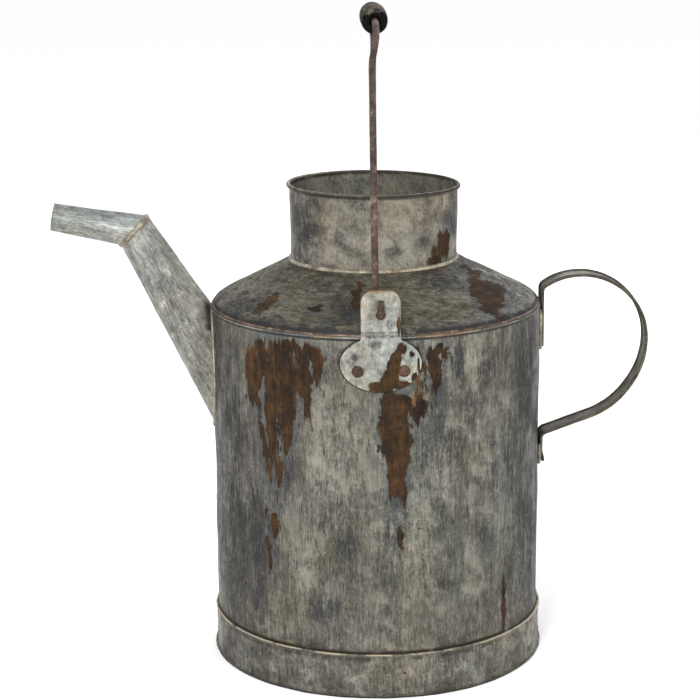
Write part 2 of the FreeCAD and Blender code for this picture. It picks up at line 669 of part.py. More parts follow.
NODES = {
    "body_wall": make_body_wall,
    "base_pan": make_base_pan,
    "base_solder": make_base_solder,
    "foot_band": make_foot_band,
    "foot_edge_wire": make_foot_edge_wire,
    "foot_band_rivets": make_foot_band_rivets,
    "shoulder_cone": make_shoulder_cone,
    "shoulder_solder": make_shoulder_solder,
    "neck_collar": make_neck_collar,
    "neck_rim_wire": make_neck_rim_wire,
    "neck_solder": make_neck_solder,
    "spout_lower_tube": make_spout_lower_tube,
    "spout_nozzle": make_spout_nozzle,
    "spout_elbow_solder": make_elbow_solder,
    "spout_base_solder": make_spout_base_solder,
    "handle_strap": make_handle_strap,
    "handle_edge_wires": make_handle_edge_wires,
    "handle_upper_solder": make_handle_upper_solder,
    "handle_lower_solder": make_handle_lower_solder,
    "front_ear": make_front_ear,
    "rear_ear": make_rear_ear,
    "ear_rivets": make_ear_rivets,
    "bail_wire": make_bail_wire,
    "bail_grip": make_bail_grip,
}


def main():
    """Build every piece and write it to its own file."""
    os.makedirs("parts", exist_ok=True)
    for name, make in NODES.items():
        shape = make()
        shape.exportStep(os.path.join("parts", name + ".step"))
        box = shape.BoundBox
        print(name, len(shape.Solids), "solid", shape.isValid(), round(shape.Volume, 1), "mm3",
              [round(v, 1) for v in (box.XMin, box.XMax, box.YMin, box.YMax, box.ZMin, box.ZMax)])


main()
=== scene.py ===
"""A weathered galvanised watering can: sheet-metal body, mitred spout, strap handle and wire bail.

Every length is in metres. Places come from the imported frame; each class holds its own sizes.
"""
import logging
import math
from collections.abc import Callable, Sequence
from dataclasses import dataclass, field
from enum import Enum

import bmesh
import bpy
from mathutils import Matrix, Vector, noise


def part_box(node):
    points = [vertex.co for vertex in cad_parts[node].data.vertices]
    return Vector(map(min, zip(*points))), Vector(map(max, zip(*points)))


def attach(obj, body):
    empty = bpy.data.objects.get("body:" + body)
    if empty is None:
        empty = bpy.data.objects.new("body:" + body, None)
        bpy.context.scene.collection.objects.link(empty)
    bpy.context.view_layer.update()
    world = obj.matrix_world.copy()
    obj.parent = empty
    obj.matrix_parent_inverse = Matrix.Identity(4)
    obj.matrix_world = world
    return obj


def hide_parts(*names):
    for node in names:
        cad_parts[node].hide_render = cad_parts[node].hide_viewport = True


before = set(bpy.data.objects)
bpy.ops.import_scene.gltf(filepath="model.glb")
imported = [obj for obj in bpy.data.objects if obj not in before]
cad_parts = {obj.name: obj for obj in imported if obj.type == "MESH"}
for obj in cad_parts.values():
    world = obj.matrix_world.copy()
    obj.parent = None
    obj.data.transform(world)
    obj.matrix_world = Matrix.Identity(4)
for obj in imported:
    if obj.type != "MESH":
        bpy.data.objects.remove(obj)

LOG = logging.getLogger("watering_can")
MM = 0.001
FULL_TURN = 2 * math.pi

Colour = tuple[float, float, float]
Stop = tuple[float, Colour]
Spot = tuple[float, float]
Shift = Callable[[float, float, float], float]
Piece = bpy.types.Object
Material = bpy.types.Material
Socket = bpy.types.NodeSocket


# ---- helpers for places and meshes
def node_box(node: str) -> tuple[Vector, Vector]:
    """Corners of a frame node.

    Args:
        node: name of the node in the frame.

    Returns:
        Its lowest and highest corner at rest, in metres.
    """
    low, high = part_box(node)
    return Vector(low), Vector(high)


def roughly(place: Vector, size: float, octaves: int = 3) -> float:
    """Smooth, repeatable unevenness.

    Args:
        place: where to read it, in metres.
        size: width of its largest lumps, in metres.
        octaves: how many finer layers are added.

    Returns:
        A value of about -1 to 1.
    """
    return noise.fractal(place / size, 0.9, 2.0, octaves)


def bell(value: float, middle: float, width: float) -> float:
    """One at the middle, falling smoothly to nothing beyond the width."""
    return math.exp(-(((value - middle) / width) ** 2))


def step_up(value: float, start: float, end: float) -> float:
    """Zero before the start, one after the end, and a smooth rise between them."""
    share = min(1.0, max(0.0, (value - start) / (end - start)))
    return share * share * (3 - 2 * share)


def spread(start: float, end: float, count: int) -> list[float]:
    """Evenly spaced values from start to end, both included."""
    return [start + (end - start) * number / (count - 1) for number in range(count)]


def make_piece(name: str, points: Sequence[Vector], faces: Sequence[Sequence[int]]) -> Piece:
    """Make a smooth-shaded mesh piece.

    Args:
        name: the piece's name.
        points: its vertices.
        faces: vertex numbers of each face.

    Returns:
        The new object, linked to the scene.
    """
    mesh = bpy.data.meshes.new(name)
    mesh.from_pydata([tuple(point) for point in points], [], [tuple(face) for face in faces])
    mesh.validate()
    mesh.shade_smooth()
    piece = bpy.data.objects.new(name, mesh)
    bpy.context.scene.collection.objects.link(piece)
    return piece


def grid_faces(rows: int, columns: int, closed_rows: bool, closed_columns: bool) -> list[tuple[int, ...]]:
    """Four-sided faces over a grid of points.

    Args:
        rows: number of rows of points.
        columns: points in each row.
        closed_rows: join the last row to the first.
        closed_columns: join each row's last point to its first.

    Returns:
        The faces as vertex numbers.
    """
    faces = []
    for row in range(rows if closed_rows else rows - 1):
        above = (row + 1) % rows
        for column in range(columns if closed_columns else columns - 1):
            beside = (column + 1) % columns
            faces.append((row * columns + column, row * columns + beside,
                          above * columns + beside, above * columns + column))
    return faces


def no_shift(angle: float, radius: float, height: float) -> float:
    """No change of radius anywhere."""
    return 0.0


def turned_piece(name: str, section: Sequence[Spot], segments: int,
                 shift: Shift, closed: bool = True) -> Piece:
    """Turn a section round the can's axis.

    Args:
        name: the piece's name.
        section: (radius, height) points; clockwise as drawn gives outward faces.
        segments: columns round the axis.
        shift: extra radius from (angle, radius, height).
        closed: the section is a closed outline.

    Returns:
        The new object.
    """
    points = []
    for radius, height in section:
        for column in range(segments):
            angle = FULL_TURN * column / segments
            reach = radius + shift(angle, radius, height)
            points.append(Vector((reach * math.cos(angle), reach * math.sin(angle), height)))
    faces = grid_faces(len(section), segments, closed, True)
    return make_piece(name, points, faces)


def swept_piece(name: str, path: Sequence[Vector], outline: Callable[[int, float], Spot],
                sides: int, side: Vector, closed: bool = False) -> Piece:
    """Sweep an outline along a path that lies in a plane.

    Args:
        name: the piece's name.
        path: points of the centre line.
        outline: (offset across the plane, offset in it) from (path point, share round the outline).
        sides: points in the outline.
        side: unit vector across the path's plane.
        closed: the path is a closed ring.

    Returns:
        The new object, with its ends capped when the path is open.
    """
    count = len(path)
    points = []
    for number, place in enumerate(path):
        before = path[number - 1] if closed or number else path[0]
        after = path[(number + 1) % count] if closed or number < count - 1 else path[-1]
        along = (after - before).normalized()
        outward = along.cross(side).normalized()
        for corner in range(sides):
            across, lift = outline(number, corner / sides)
            points.append(place + side * across + outward * lift)
    faces = grid_faces(count, sides, closed, True)
    if not closed:
        faces.append(tuple(reversed(range(sides))))
        faces.append(tuple(range((count - 1) * sides, count * sides)))
    return make_piece(name, points, faces)


def face_outward(piece: Piece) -> None:
    """Turn a closed piece's faces to point outward.

    Args:
        piece: the piece.
    """
    work = bmesh.new()
    work.from_mesh(piece.data)
    bmesh.ops.recalc_face_normals(work, faces=work.faces)
    work.to_mesh(piece.data)
    work.free()


def thicken(piece: Piece, gauge: float) -> None:
    """Give a single skin its sheet gauge, grown inward from the skin.

    Args:
        piece: the piece.
        gauge: sheet thickness.
    """
    sheet = piece.modifiers.new("gauge", "SOLIDIFY")
    sheet.thickness = gauge
    sheet.offset = -1.0
    sheet.use_even_offset = False


def dress(piece: Piece, material: Material, body: str,
          nodes: Sequence[str]) -> None:
    """Give a piece its finish and tie it to the frame.

    Args:
        piece: the new piece.
        material: its finish.
        body: the frame body it rides on.
        nodes: the frame nodes it stands for.
    """
    piece.data.materials.clear()
    piece.data.materials.append(material)
    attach(piece, body)
    if nodes:
        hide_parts(*nodes)
    LOG.info("%s: %d faces", piece.name, len(piece.data.polygons))


# ---- finishes
class Grain(Enum):
    """Which way the streaks of a finish run."""

    UPRIGHT = "up the can"
    ROUND = "round the can"
    SPOUT = "along the lower spout tube"
    NOZZLE = "along the nozzle"
    STRAP = "along the handle strap"


@dataclass(frozen=True)
class Stain:
    """An oval patch on the can, by its angle from the front and its height."""

    angle: float  # degrees, positive toward the handle
    height: float  # metres
    half_angle: float  # degrees
    half_height: float  # metres


def stains(*rows: tuple[float, float, float, float]) -> tuple[Stain, ...]:
    """Stains from rows of (angle, height, half angle, half height)."""
    return tuple(Stain(*row) for row in rows)


class Graph:
    """Builds one material's node tree a step at a time."""

    def __init__(self, name: str) -> None:
        """Start a material with a shader and an output.

        Args:
            name: the material's name.
        """
        self.material = bpy.data.materials.new(name)
        self.material.use_nodes = True
        self.tree = self.material.node_tree
        self.tree.nodes.clear()
        self.shader = self.tree.nodes.new("ShaderNodeBsdfPrincipled")
        output = self.tree.nodes.new("ShaderNodeOutputMaterial")
        self.tree.links.new(self.shader.outputs[0], output.inputs["Surface"])

    def add(self, kind: str, inputs: dict, **settings: object) -> bpy.types.Node:
        """Add a node.

        Args:
            kind: the node's type name.
            inputs: socket name or number to a value or another node's output.
            **settings: the node's own options.

        Returns:
            The node.
        """
        node = self.tree.nodes.new(kind)
        for key, value in settings.items():
            setattr(node, key, value)
        for key, value in inputs.items():
            if isinstance(value, Socket):
                self.tree.links.new(value, node.inputs[key])
            else:
                node.inputs[key].default_value = value
        return node

    def maths(self, operation: str, *values: object) -> Socket:
        """One sum, product or other step on up to three numbers."""
        return self.add("ShaderNodeMath", dict(enumerate(values)), operation=operation).outputs[0]

    def times(self, first: object, second: object) -> Socket:
        """One number times another."""
        return self.maths("MULTIPLY", first, second)

    def scaled(self, value: object, factor: object, added: object) -> Socket:
        """A number times a factor, plus another number."""
        return self.maths("MULTIPLY_ADD", value, factor, added)

    def vector(self, operation: str, *values: object) -> Socket:
        """One vector step, giving a vector."""
        return self.add("ShaderNodeVectorMath", dict(enumerate(values)), operation=operation).outputs[0]

    def place(self) -> Socket:
        """The point on the piece, in the frame's metres."""
        return self.add("ShaderNodeTexCoord", {}).outputs["Object"]

    def parts(self, vector: Socket) -> list[Socket]:
        """A vector's X, Y and Z."""
        return list(self.add("ShaderNodeSeparateXYZ", {0: vector}).outputs)

    def together(self, *values: object) -> Socket:
        """A vector from X, Y and Z."""
        return self.add("ShaderNodeCombineXYZ", dict(enumerate(values))).outputs[0]

    def clouds(self, where: Socket, scale: float, detail: float = 5.0,
               rough: float = 0.6, bend: float = 0.0) -> Socket:
        """Cloudy noise of about 0.3 to 0.7.

        Args:
            where: the point to read it at.
            scale: how fine it is.
            detail: layers of finer noise.
            rough: strength of the finer layers.
            bend: how far it swirls.

        Returns:
            The noise.
        """
        values = {"Vector": where, "Scale": scale, "Detail": detail, "Roughness": rough,
                  "Distortion": bend}
        return self.add("ShaderNodeTexNoise", values).outputs["Fac"]

    def cells(self, where: Socket, scale: float) -> Socket:
        """Distance to the nearest of many scattered points."""
        return self.add("ShaderNodeTexVoronoi", {"Vector": where, "Scale": scale}).outputs["Distance"]

    def between(self, value: Socket, low: float, high: float) -> Socket:
        """Zero at low, one at high, smooth between; low may be the larger."""
        values = {"Value": value, "From Min": low, "From Max": high}
        return self.add("ShaderNodeMapRange", values, interpolation_type="SMOOTHSTEP").outputs[0]

    def ramp(self, factor: Socket, stops: Sequence[Stop]) -> Socket:
        """Colour along a run of stops.

        Args:
            factor: share, 0 to 1.
            stops: (place, colour) pairs.

        Returns:
            The colour.
        """
        node = self.add("ShaderNodeValToRGB", {0: factor})
        marks = node.color_ramp.elements
        for number, (spot, colour) in enumerate(stops):
            mark = marks[number] if number < 2 else marks.new(spot)
            mark.position = spot
            mark.color = (*colour, 1.0)
        return node.outputs[0]

    def blend(self, factor: object, under: object, over: object, way: str = "MIX") -> Socket:
        """One colour laid over another by a factor.

        Args:
            factor: share, 0 to 1.
            under: what it lies on.
            over: what is laid on top.
            way: how the two mix.

        Returns:
            The new colour.
        """
        colours = [(*value, 1.0) if isinstance(value, tuple) else value for value in (under, over)]
        values = {0: factor, 6: colours[0], 7: colours[1]}
        node = self.add("ShaderNodeMix", values, data_type="RGBA", blend_type=way)
        return node.outputs[2]

    def bump(self, height: Socket, depth: float, strength: float = 1.0,
             under: Socket | None = None) -> Socket:
        """Relief of a depth in metres, added on top of any relief under it.

        Args:
            height: the relief, 0 to 1.
            depth: its depth in metres.
            strength: how strongly it shows.
            under: relief to add it to.

        Returns:
            The relief.
        """
        values = {"Height": height, "Distance": depth, "Strength": strength}
        if under is not None:
            values["Normal"] = under
        return self.add("ShaderNodeBump", values).outputs[0]

    def finish(self, colour: object, roughness: object, metallic: float,
               normal: Socket | None = None, **sockets: float) -> Material:
        """Connect the shader.

        Args:
            colour: base colour.
            roughness: roughness.
            metallic: share of metal, the same all over.
            normal: relief.
            **sockets: other shader sockets by name, with _ for a space.

        Returns:
            The finished material.
        """
        inputs = {"Base Color": colour, "Roughness": roughness}
        if normal is not None:
            inputs["Normal"] = normal
        for key, value in inputs.items():
            if isinstance(value, Socket):
                self.tree.links.new(value, self.shader.inputs[key])
            else:
                self.shader.inputs[key].default_value = value
        self.shader.inputs["Metallic"].default_value = metallic
        for key, value in sockets.items():
            self.shader.inputs[key.replace("_", " ")].default_value = value
        return self.material


RUST_STOPS: tuple[Stop, ...] = (
    (0.36, (0.006, 0.004, 0.003)),
    (0.48, (0.022, 0.012, 0.006)),
    (0.60, (0.054, 0.026, 0.008)),
    (0.74, (0.130, 0.060, 0.018)),
)
DIRT = (0.020, 0.014, 0.010)
# Painted shade in creases, under the lip and round fittings.
PAINTED_SHADE = (0.013, 0.012, 0.013)
BRASSY = (0.42, 0.36, 0.25)
# Painted highlight along the wall's lip edge.
LIP_EDGE_HIGHLIGHT = (0.34, 0.33, 0.29)
# Cold soot streaks; the same colour paints shade on the sides turned from the lights.
COLD_SOOT_AND_SHADE = (0.020, 0.021, 0.023)
BARE_IRON = (0.058, 0.066, 0.070)
ORANGE_RUST = (0.175, 0.095, 0.038)
WARM_TINT = (1.0, 0.93, 0.81)
COOL_TINT = (0.80, 0.93, 1.0)
# Painted shade toward the can's spout and handle sides.
SIDE_SHADE_TINT = (0.50, 0.47, 0.41)


@dataclass(frozen=True)
class Noises:
    """The noise that a zinc finish draws all its wear from."""

    place: Socket  # the point on the piece
    streaks: Socket  # the same, squeezed along the grain
    broad: Socket  # broad streaks
    fine: Socket  # fine streaks
    hair: Socket  # hair-thin streaks
    lumps: Socket  # large clouds
    speck: Socket  # small specks
    blotch: Socket  # middling clouds
    jag: Socket  # what makes the stains' edges ragged


@dataclass(frozen=True)
class Line:
    """A level line round the can: dirt, bright wear, painted shade or a painted highlight."""

    height: float  # metres
    reach: float  # metres to where it has faded out
    colour: Colour
    strength: float = 0.9
    broken: float = 0.44  # cloud level at which the line breaks up


@dataclass(frozen=True)
class Zinc:
    """Old galvanised sheet: streaked grey zinc, dull bloom, grime and rust where it has worn through, with
    painted shade and painted highlights.
    """

    name: str
    grain: Grain = Grain.UPRIGHT
    dark: Colour = (0.024, 0.023, 0.020)
    middle: Colour = (0.081, 0.076, 0.062)
    light: Colour = (0.183, 0.175, 0.146)
    bloom: Colour = (0.254, 0.242, 0.197)
    bloom_share: float = 0.30
    rust: tuple[Stain, ...] = ()
    # soot streaks; some ovals are painted shade instead
    shade: tuple[Stain, ...] = ()
    pale: tuple[Stain, ...] = ()
    rust_spots: float = 0.70  # noise level above which stray rust shows
    lines: tuple[Line, ...] = ()
    hammered: float = 0.0  # how far the painted highlights along the hammer marks show
    roughness: tuple[float, float] = (0.36, 0.66)
    metallic: float = 0.22
    streaky: float = 1.0  # how far the streaks show
    cloudy: float = 1.0  # how far the cloudy patches show
    rust_top: float = 1.0  # height above which the stains stop
    seat_shade: tuple[Stain, ...] = ()  # painted shade round the edge of a fitting
    scuffs: float = 0.35  # how far the fine scratches show
    orange: tuple[Stain, ...] = ()  # thin wash of orange rust
    side_shade: float = 0.0  # how far painted shade darkens the can toward its spout and handle sides
    jagged: float = 0.060  # metres a stain's edge moves up and down
    drift: float = 0.10  # radians it moves sideways

    def streak_space(self, graph: Graph, place: Socket) -> Socket:
        """Space squeezed so that noise in it runs along the grain.

        Args:
            graph: the material's nodes.
            place: the point.

        Returns:
            The squeezed point.
        """
        if self.grain is Grain.UPRIGHT:
            return graph.vector("MULTIPLY", place, (1.0, 1.0, 0.13))
        if self.grain is Grain.ROUND:
            x, y, z = graph.parts(place)
            flat = graph.together(x, y, 0.0)
            radius = graph.add("ShaderNodeVectorMath", {0: flat}, operation="LENGTH").outputs["Value"]
            return graph.together(graph.times(x, 0.16), graph.times(y, 0.16),
                                  graph.maths("ADD", radius, z))
        if self.grain is Grain.STRAP:
            return graph.vector("MULTIPLY", place, (0.13, 1.0, 0.13))
        tilt = SPOUT_TILT if self.grain is Grain.SPOUT else NOZZLE_TILT
        turned = graph.add("ShaderNodeVectorRotate", {"Vector": place, "Angle": tilt},
                           rotation_type="Y_AXIS").outputs[0]
        return graph.vector("MULTIPLY", turned, (0.12, 1.0, 1.0))

    def stain_field(self, graph: Graph, place: Socket, stains: Sequence[Stain],
                    jag: Socket | float,
                    drift: Socket | float) -> Socket:
        """How deep a point lies inside the nearest stain; negative outside.

        Args:
            graph: the material's nodes.
            place: the point.
            stains: the ovals.
            jag: streaky noise that moves the edge up and down.
            drift: cloudy noise that moves it sideways.

        Returns:
            One at a stain's middle, zero at its edge.
        """
        x, y, z = graph.parts(place)
        front = graph.times(y, -1.0)
        angle = graph.maths("ARCTAN2", x, front)
        level = graph.maths("ADD", z, graph.scaled(jag, self.jagged, -self.jagged / 2))
        turned = graph.maths("ADD", angle, graph.scaled(drift, self.drift, -self.drift / 2))
        spot = graph.together(turned, level, 0.0)
        best: Socket | float = -1.0
        for stain in stains:
            away = graph.vector("SUBTRACT", spot, (math.radians(stain.angle), stain.height, 0.0))
            scaled = graph.vector("MULTIPLY", away, (1 / math.radians(stain.half_angle),
                                                     1 / stain.half_height, 0.0))
            far = graph.add("ShaderNodeVectorMath", {0: scaled}, operation="LENGTH").outputs["Value"]
            best = graph.maths("MAXIMUM", graph.maths("SUBTRACT", 1.0, far), best)
        return best

    def line_mask(self, graph: Graph, place: Socket, line: Line) -> Socket:
        """One at the line's height, fading to zero over its reach, broken by clouds.

        Args:
            graph: the material's nodes.
            place: the point.
            line: the line.

        Returns:
            The mask.
        """
        z = graph.parts(place)[2]
        gap = graph.maths("ABSOLUTE", graph.maths("SUBTRACT", z, line.height))
        near = graph.between(gap, line.reach, 0.15 * line.reach)
        patches = graph.between(graph.clouds(place, 55.0 + 7000 * line.reach, 4.0, 0.65),
                                line.broken - 0.07, line.broken + 0.07)
        return graph.times(graph.times(near, patches), line.strength)

    def hammer_highlights(self, graph: Graph, place: Socket,
                  region: Socket) -> Socket:
        """Painted highlights: bright crescents along one side of overlapping hammer marks.

        Args:
            graph: the material's nodes.
            place: the point.
            region: mask of where it may show.

        Returns:
            The mask.
        """
        x, y, z = graph.parts(place)
        angle = graph.maths("ARCTAN2", x, graph.times(y, -1.0))
        wobble = graph.scaled(graph.clouds(place, 60.0, 3.0, 0.5), 0.010, -0.005)
        around = graph.maths("ADD", graph.times(angle, 0.115), wobble)
        flat = graph.together(around, graph.maths("ADD", z, wobble), 0.0)
        far = graph.cells(flat, 58.0)
        shifted = graph.cells(graph.vector("ADD", flat, (0.0022, 0.0012, 0.0)), 58.0)
        crescent = graph.between(graph.maths("SUBTRACT", far, shifted), 0.02, 0.11)
        return graph.times(graph.times(crescent, region), self.hammered)

    def noises(self, graph: Graph) -> Noises:
        """Make the noise that every kind of wear shares.

        Args:
            graph: the material's nodes.

        Returns:
            The noise.
        """
        place = graph.place()
        streaks = self.streak_space(graph, place)
        broad = graph.clouds(streaks, 42.0, 7.0, 0.68, 0.4)
        fine = graph.clouds(streaks, 380.0, 5.0, 0.78)
        runs = graph.clouds(graph.vector("MULTIPLY", streaks, (1.0, 1.0, 1.6)), 100.0, 4.0, 0.65)
        jag = graph.scaled(fine, 0.25, graph.times(broad, 0.22))
        return Noises(place=place, streaks=streaks, broad=broad, fine=fine,
                      hair=graph.clouds(streaks, 1250.0, 3.0, 0.7),
                      lumps=graph.clouds(place, 26.0, 6.0, 0.62, 0.5),
                      speck=graph.clouds(place, 480.0, 5.0, 0.75),
                      blotch=graph.clouds(place, 110.0, 6.0, 0.70, 0.6),
                      jag=graph.scaled(runs, 0.53, jag))

    def tone(self, graph: Graph, noise_of: Noises) -> Socket:
        """Light and dark of the bare sheet, about 0.3 to 0.7.

        Args:
            graph: the material's nodes.
            noise_of: the shared noise.

        Returns:
            The tone.
        """
        layers = ((noise_of.broad, 0.44 * self.streaky), (noise_of.fine, 0.50 * self.streaky),
                  (noise_of.hair, 0.52 * self.streaky), (noise_of.lumps, 0.36 * self.cloudy),
                  (noise_of.blotch, 0.30 * self.cloudy), (noise_of.speck, 0.34))
        tone: Socket | float = 0.5
        for layer, share in layers:
            tone = graph.maths("ADD", graph.scaled(layer, share, -share / 2), tone)
        return tone

    def sheet_colour(self, graph: Graph, noise_of: Noises, tone: Socket) -> Socket:
        """Colour of the dull sheet with warm and cool places and pale bloom.

        Args:
            graph: the material's nodes.
            noise_of: the shared noise.
            tone: light and dark of the sheet.

        Returns:
            The colour.
        """
        colour = graph.ramp(tone, ((0.33, self.dark), (0.50, self.middle), (0.70, self.light)))
        warm = graph.between(graph.clouds(noise_of.place, 15.0, 4.0, 0.6), 0.44, 0.60)
        colour = graph.blend(graph.times(warm, 0.55), colour, WARM_TINT, "MULTIPLY")
        cool = graph.between(graph.clouds(noise_of.streaks, 27.0, 4.0, 0.6), 0.50, 0.64)
        colour = graph.blend(graph.times(cool, 0.6), colour, COOL_TINT, "MULTIPLY")
        flecks = graph.times(noise_of.blotch, 0.55)
        flecks = graph.scaled(noise_of.speck, 0.45, flecks)
        flecks = graph.between(flecks, 0.53, 0.62)
        patchy = graph.between(noise_of.lumps, 0.44, 0.58)
        bloom = graph.times(graph.times(flecks, patchy), self.bloom_share)
        return graph.blend(bloom, colour, self.bloom)

    def worn_colour(self, graph: Graph, noise_of: Noises, tone: Socket, colour: Socket) -> Socket:
        """Lay chalky places, painted highlights on hammer marks, soot streaks with painted shade, painted
        side shade and scratches over the sheet.

        Args:
            graph: the material's nodes.
            noise_of: the shared noise.
            tone: light and dark of the sheet.
            colour: what it is laid over.

        Returns:
            The new colour.
        """
        place, jag, lumps = noise_of.place, noise_of.jag, noise_of.lumps
        if self.pale:
            pale = graph.between(self.stain_field(graph, place, self.pale, jag, lumps), 0.0, 0.8)
            chalk = graph.times(pale, graph.between(tone, 0.36, 0.64))
            colour = graph.blend(graph.times(chalk, 0.38), colour, self.bloom)
        # Painted highlights along the hammer marks.
        if self.hammered:
            region = graph.between(lumps, 0.40, 0.55)
            colour = graph.blend(self.hammer_highlights(graph, place, region), colour, self.bloom)
        # Soot streaks, with painted shade in some of the ovals.
        if self.shade:
            shade = graph.between(self.stain_field(graph, place, self.shade, jag, lumps), -0.15, 0.65)
            streaked = graph.times(shade, graph.between(tone, 0.74, 0.40))
            colour = graph.blend(graph.times(streaked, 0.88), colour, COLD_SOOT_AND_SHADE)
        # Painted shade toward the spout and handle sides.
        if self.side_shade:
            side_shade_mask = graph.between(graph.maths("ABSOLUTE", graph.parts(place)[0]), 68 * MM, 112 * MM)
            side_shade_mask = graph.times(side_shade_mask, self.side_shade)
            colour = graph.blend(side_shade_mask, colour, SIDE_SHADE_TINT, "MULTIPLY")
        if self.scuffs:
            winding = graph.clouds(place, 38.0, 3.0, 0.55, 2.2)
            off_line = graph.maths("ABSOLUTE", graph.maths("SUBTRACT", winding, 0.5))
            thin = graph.between(off_line, 0.0045, 0.0)
            scuff = graph.times(thin, graph.between(noise_of.blotch, 0.46, 0.56))
            colour = graph.blend(graph.times(scuff, self.scuffs), colour, self.bloom)
        return colour

    def rusted(self, graph: Graph, noise_of: Noises, colour: Socket) -> tuple[Socket, Socket]:
        """Lay rust over the sheet, grey where it has not yet broken through.

        Args:
            graph: the material's nodes.
            noise_of: the shared noise.
            colour: what it is laid over.

        Returns:
            The mask of the rust and the new colour.
        """
        stray = graph.times(noise_of.lumps, 0.55)
        stray = graph.scaled(noise_of.speck, 0.45, stray)
        rust = graph.between(stray, self.rust_spots * 0.86, self.rust_spots * 0.93)
        if self.rust:
            inside = self.stain_field(graph, noise_of.place, self.rust, noise_of.jag, noise_of.blotch)
            halo = graph.times(graph.between(inside, -0.75, 0.05),
                               graph.between(noise_of.broad, 0.36, 0.56))
            colour = graph.blend(graph.times(halo, 0.66), colour, BARE_IRON)
            eaten = graph.maths("ADD", inside, graph.scaled(noise_of.jag, 7.4, -3.62))
            eaten = graph.between(eaten, 0.0, 0.16)
            ragged = graph.scaled(noise_of.jag, 60 * MM, graph.parts(noise_of.place)[2])
            below = graph.between(ragged, self.rust_top + 31 * MM, self.rust_top + 30 * MM)
            rust = graph.maths("MAXIMUM", rust, graph.times(eaten, below))
        streaked = graph.scaled(noise_of.fine, 0.42, -0.22)
        streaked = graph.scaled(noise_of.broad, 0.40, streaked)
        tone = graph.scaled(graph.clouds(noise_of.place, 100.0, 7.0, 0.75), 0.62, streaked)
        return rust, graph.blend(rust, colour, graph.ramp(tone, RUST_STOPS))

    def marked(self, graph: Graph, noise_of: Noises, colour: Socket) -> Socket:
        """Lay painted shade round the fittings, then level lines and orange wash over the rest.

        Args:
            graph: the material's nodes.
            noise_of: the shared noise.
            colour: what it is laid over.

        Returns:
            The new colour.
        """
        place = noise_of.place
        # Painted shade: a dark ring round the edge of each fitting.
        if self.seat_shade:
            seat = graph.between(self.stain_field(graph, place, self.seat_shade, 0.5, 0.5), -0.035, 0.010)
            level = graph.vector("MULTIPLY", place, (1.0, 1.0, 0.0))
            radius = graph.add("ShaderNodeVectorMath", {0: level}, operation="LENGTH").outputs["Value"]
            seat = graph.times(seat, graph.between(radius, 122.0 * MM, 117.5 * MM))
            colour = graph.blend(graph.times(seat, 0.85), colour, PAINTED_SHADE)
        for line in self.lines:
            colour = graph.blend(self.line_mask(graph, place, line), colour, line.colour)
        if self.orange:
            inside = self.stain_field(graph, place, self.orange, 0.5, noise_of.blotch)
            wash = graph.between(inside, -0.10, 0.55)
            wash = graph.times(wash, graph.between(noise_of.fine, 0.36, 0.56))
            colour = graph.blend(graph.times(wash, 0.72), colour, ORANGE_RUST)
        return colour

    def relief(self, graph: Graph, noise_of: Noises, rust: Socket) -> Socket:
        """Scratches, dents and rust pits.

        Args:
            graph: the material's nodes.
            noise_of: the shared noise.
            rust: mask of the rust.

        Returns:
            The relief.
        """
        scratches = graph.scaled(noise_of.speck, 0.4, noise_of.hair)
        relief = graph.bump(scratches, 0.22 * MM, 0.75)
        relief = graph.bump(noise_of.blotch, 0.7 * MM, 0.45, relief)
        pitted = graph.times(rust, graph.clouds(noise_of.place, 700.0, 4.0, 0.7))
        relief = graph.bump(pitted, 0.5 * MM, 0.8, relief)
        return graph.bump(noise_of.lumps, 2.6 * MM, 0.45, relief)

    def build(self) -> Material:
        """Make the material, laying each kind of wear over the last.

        Returns:
            The material.
        """
        graph = Graph(self.name)
        noise_of = self.noises(graph)
        tone = self.tone(graph, noise_of)
        colour = self.sheet_colour(graph, noise_of, tone)
        colour = self.worn_colour(graph, noise_of, tone, colour)
        rust, colour = self.rusted(graph, noise_of, colour)
        colour = self.marked(graph, noise_of, colour)
        low, high = self.roughness
        rough = graph.scaled(graph.between(tone, 0.38, 0.62), low - high, high)
        rough = graph.maths("MAXIMUM", rough, graph.times(rust, 0.88))
        relief = self.relief(graph, noise_of, rust)
        return graph.finish(colour, rough, self.metallic, relief, Specular_IOR_Level=0.22)


@dataclass(frozen=True)
class Solder:
    """Tinned solder, dull and beige on top and dark in its hollows."""

    name: str
    light: Colour = (0.40, 0.36, 0.26)
    middle: Colour = (0.22, 0.195, 0.145)
    dark: Colour = (0.090, 0.078, 0.058)

    def build(self) -> Material:
        """Make the material.

        Returns:
            The material.
        """
        graph = Graph(self.name)
        place = graph.place()
        lumps = graph.clouds(place, 130.0, 5.0, 0.65, 0.4)
        specks = graph.clouds(place, 700.0, 4.0, 0.7)
        tone = graph.scaled(lumps, 0.7, graph.times(specks, 0.3))
        colour = graph.ramp(tone, ((0.38, self.dark), (0.50, self.middle), (0.62, self.light)))
        rusty = graph.between(graph.clouds(place, 60.0, 4.0, 0.6), 0.56, 0.66)
        colour = graph.blend(graph.times(rusty, 0.8), colour, (0.10, 0.055, 0.025))
        rough = graph.scaled(specks, 0.4, 0.32)
        relief = graph.bump(tone, 0.0006, 0.8)
        return graph.finish(colour, rough, 0.35, relief)


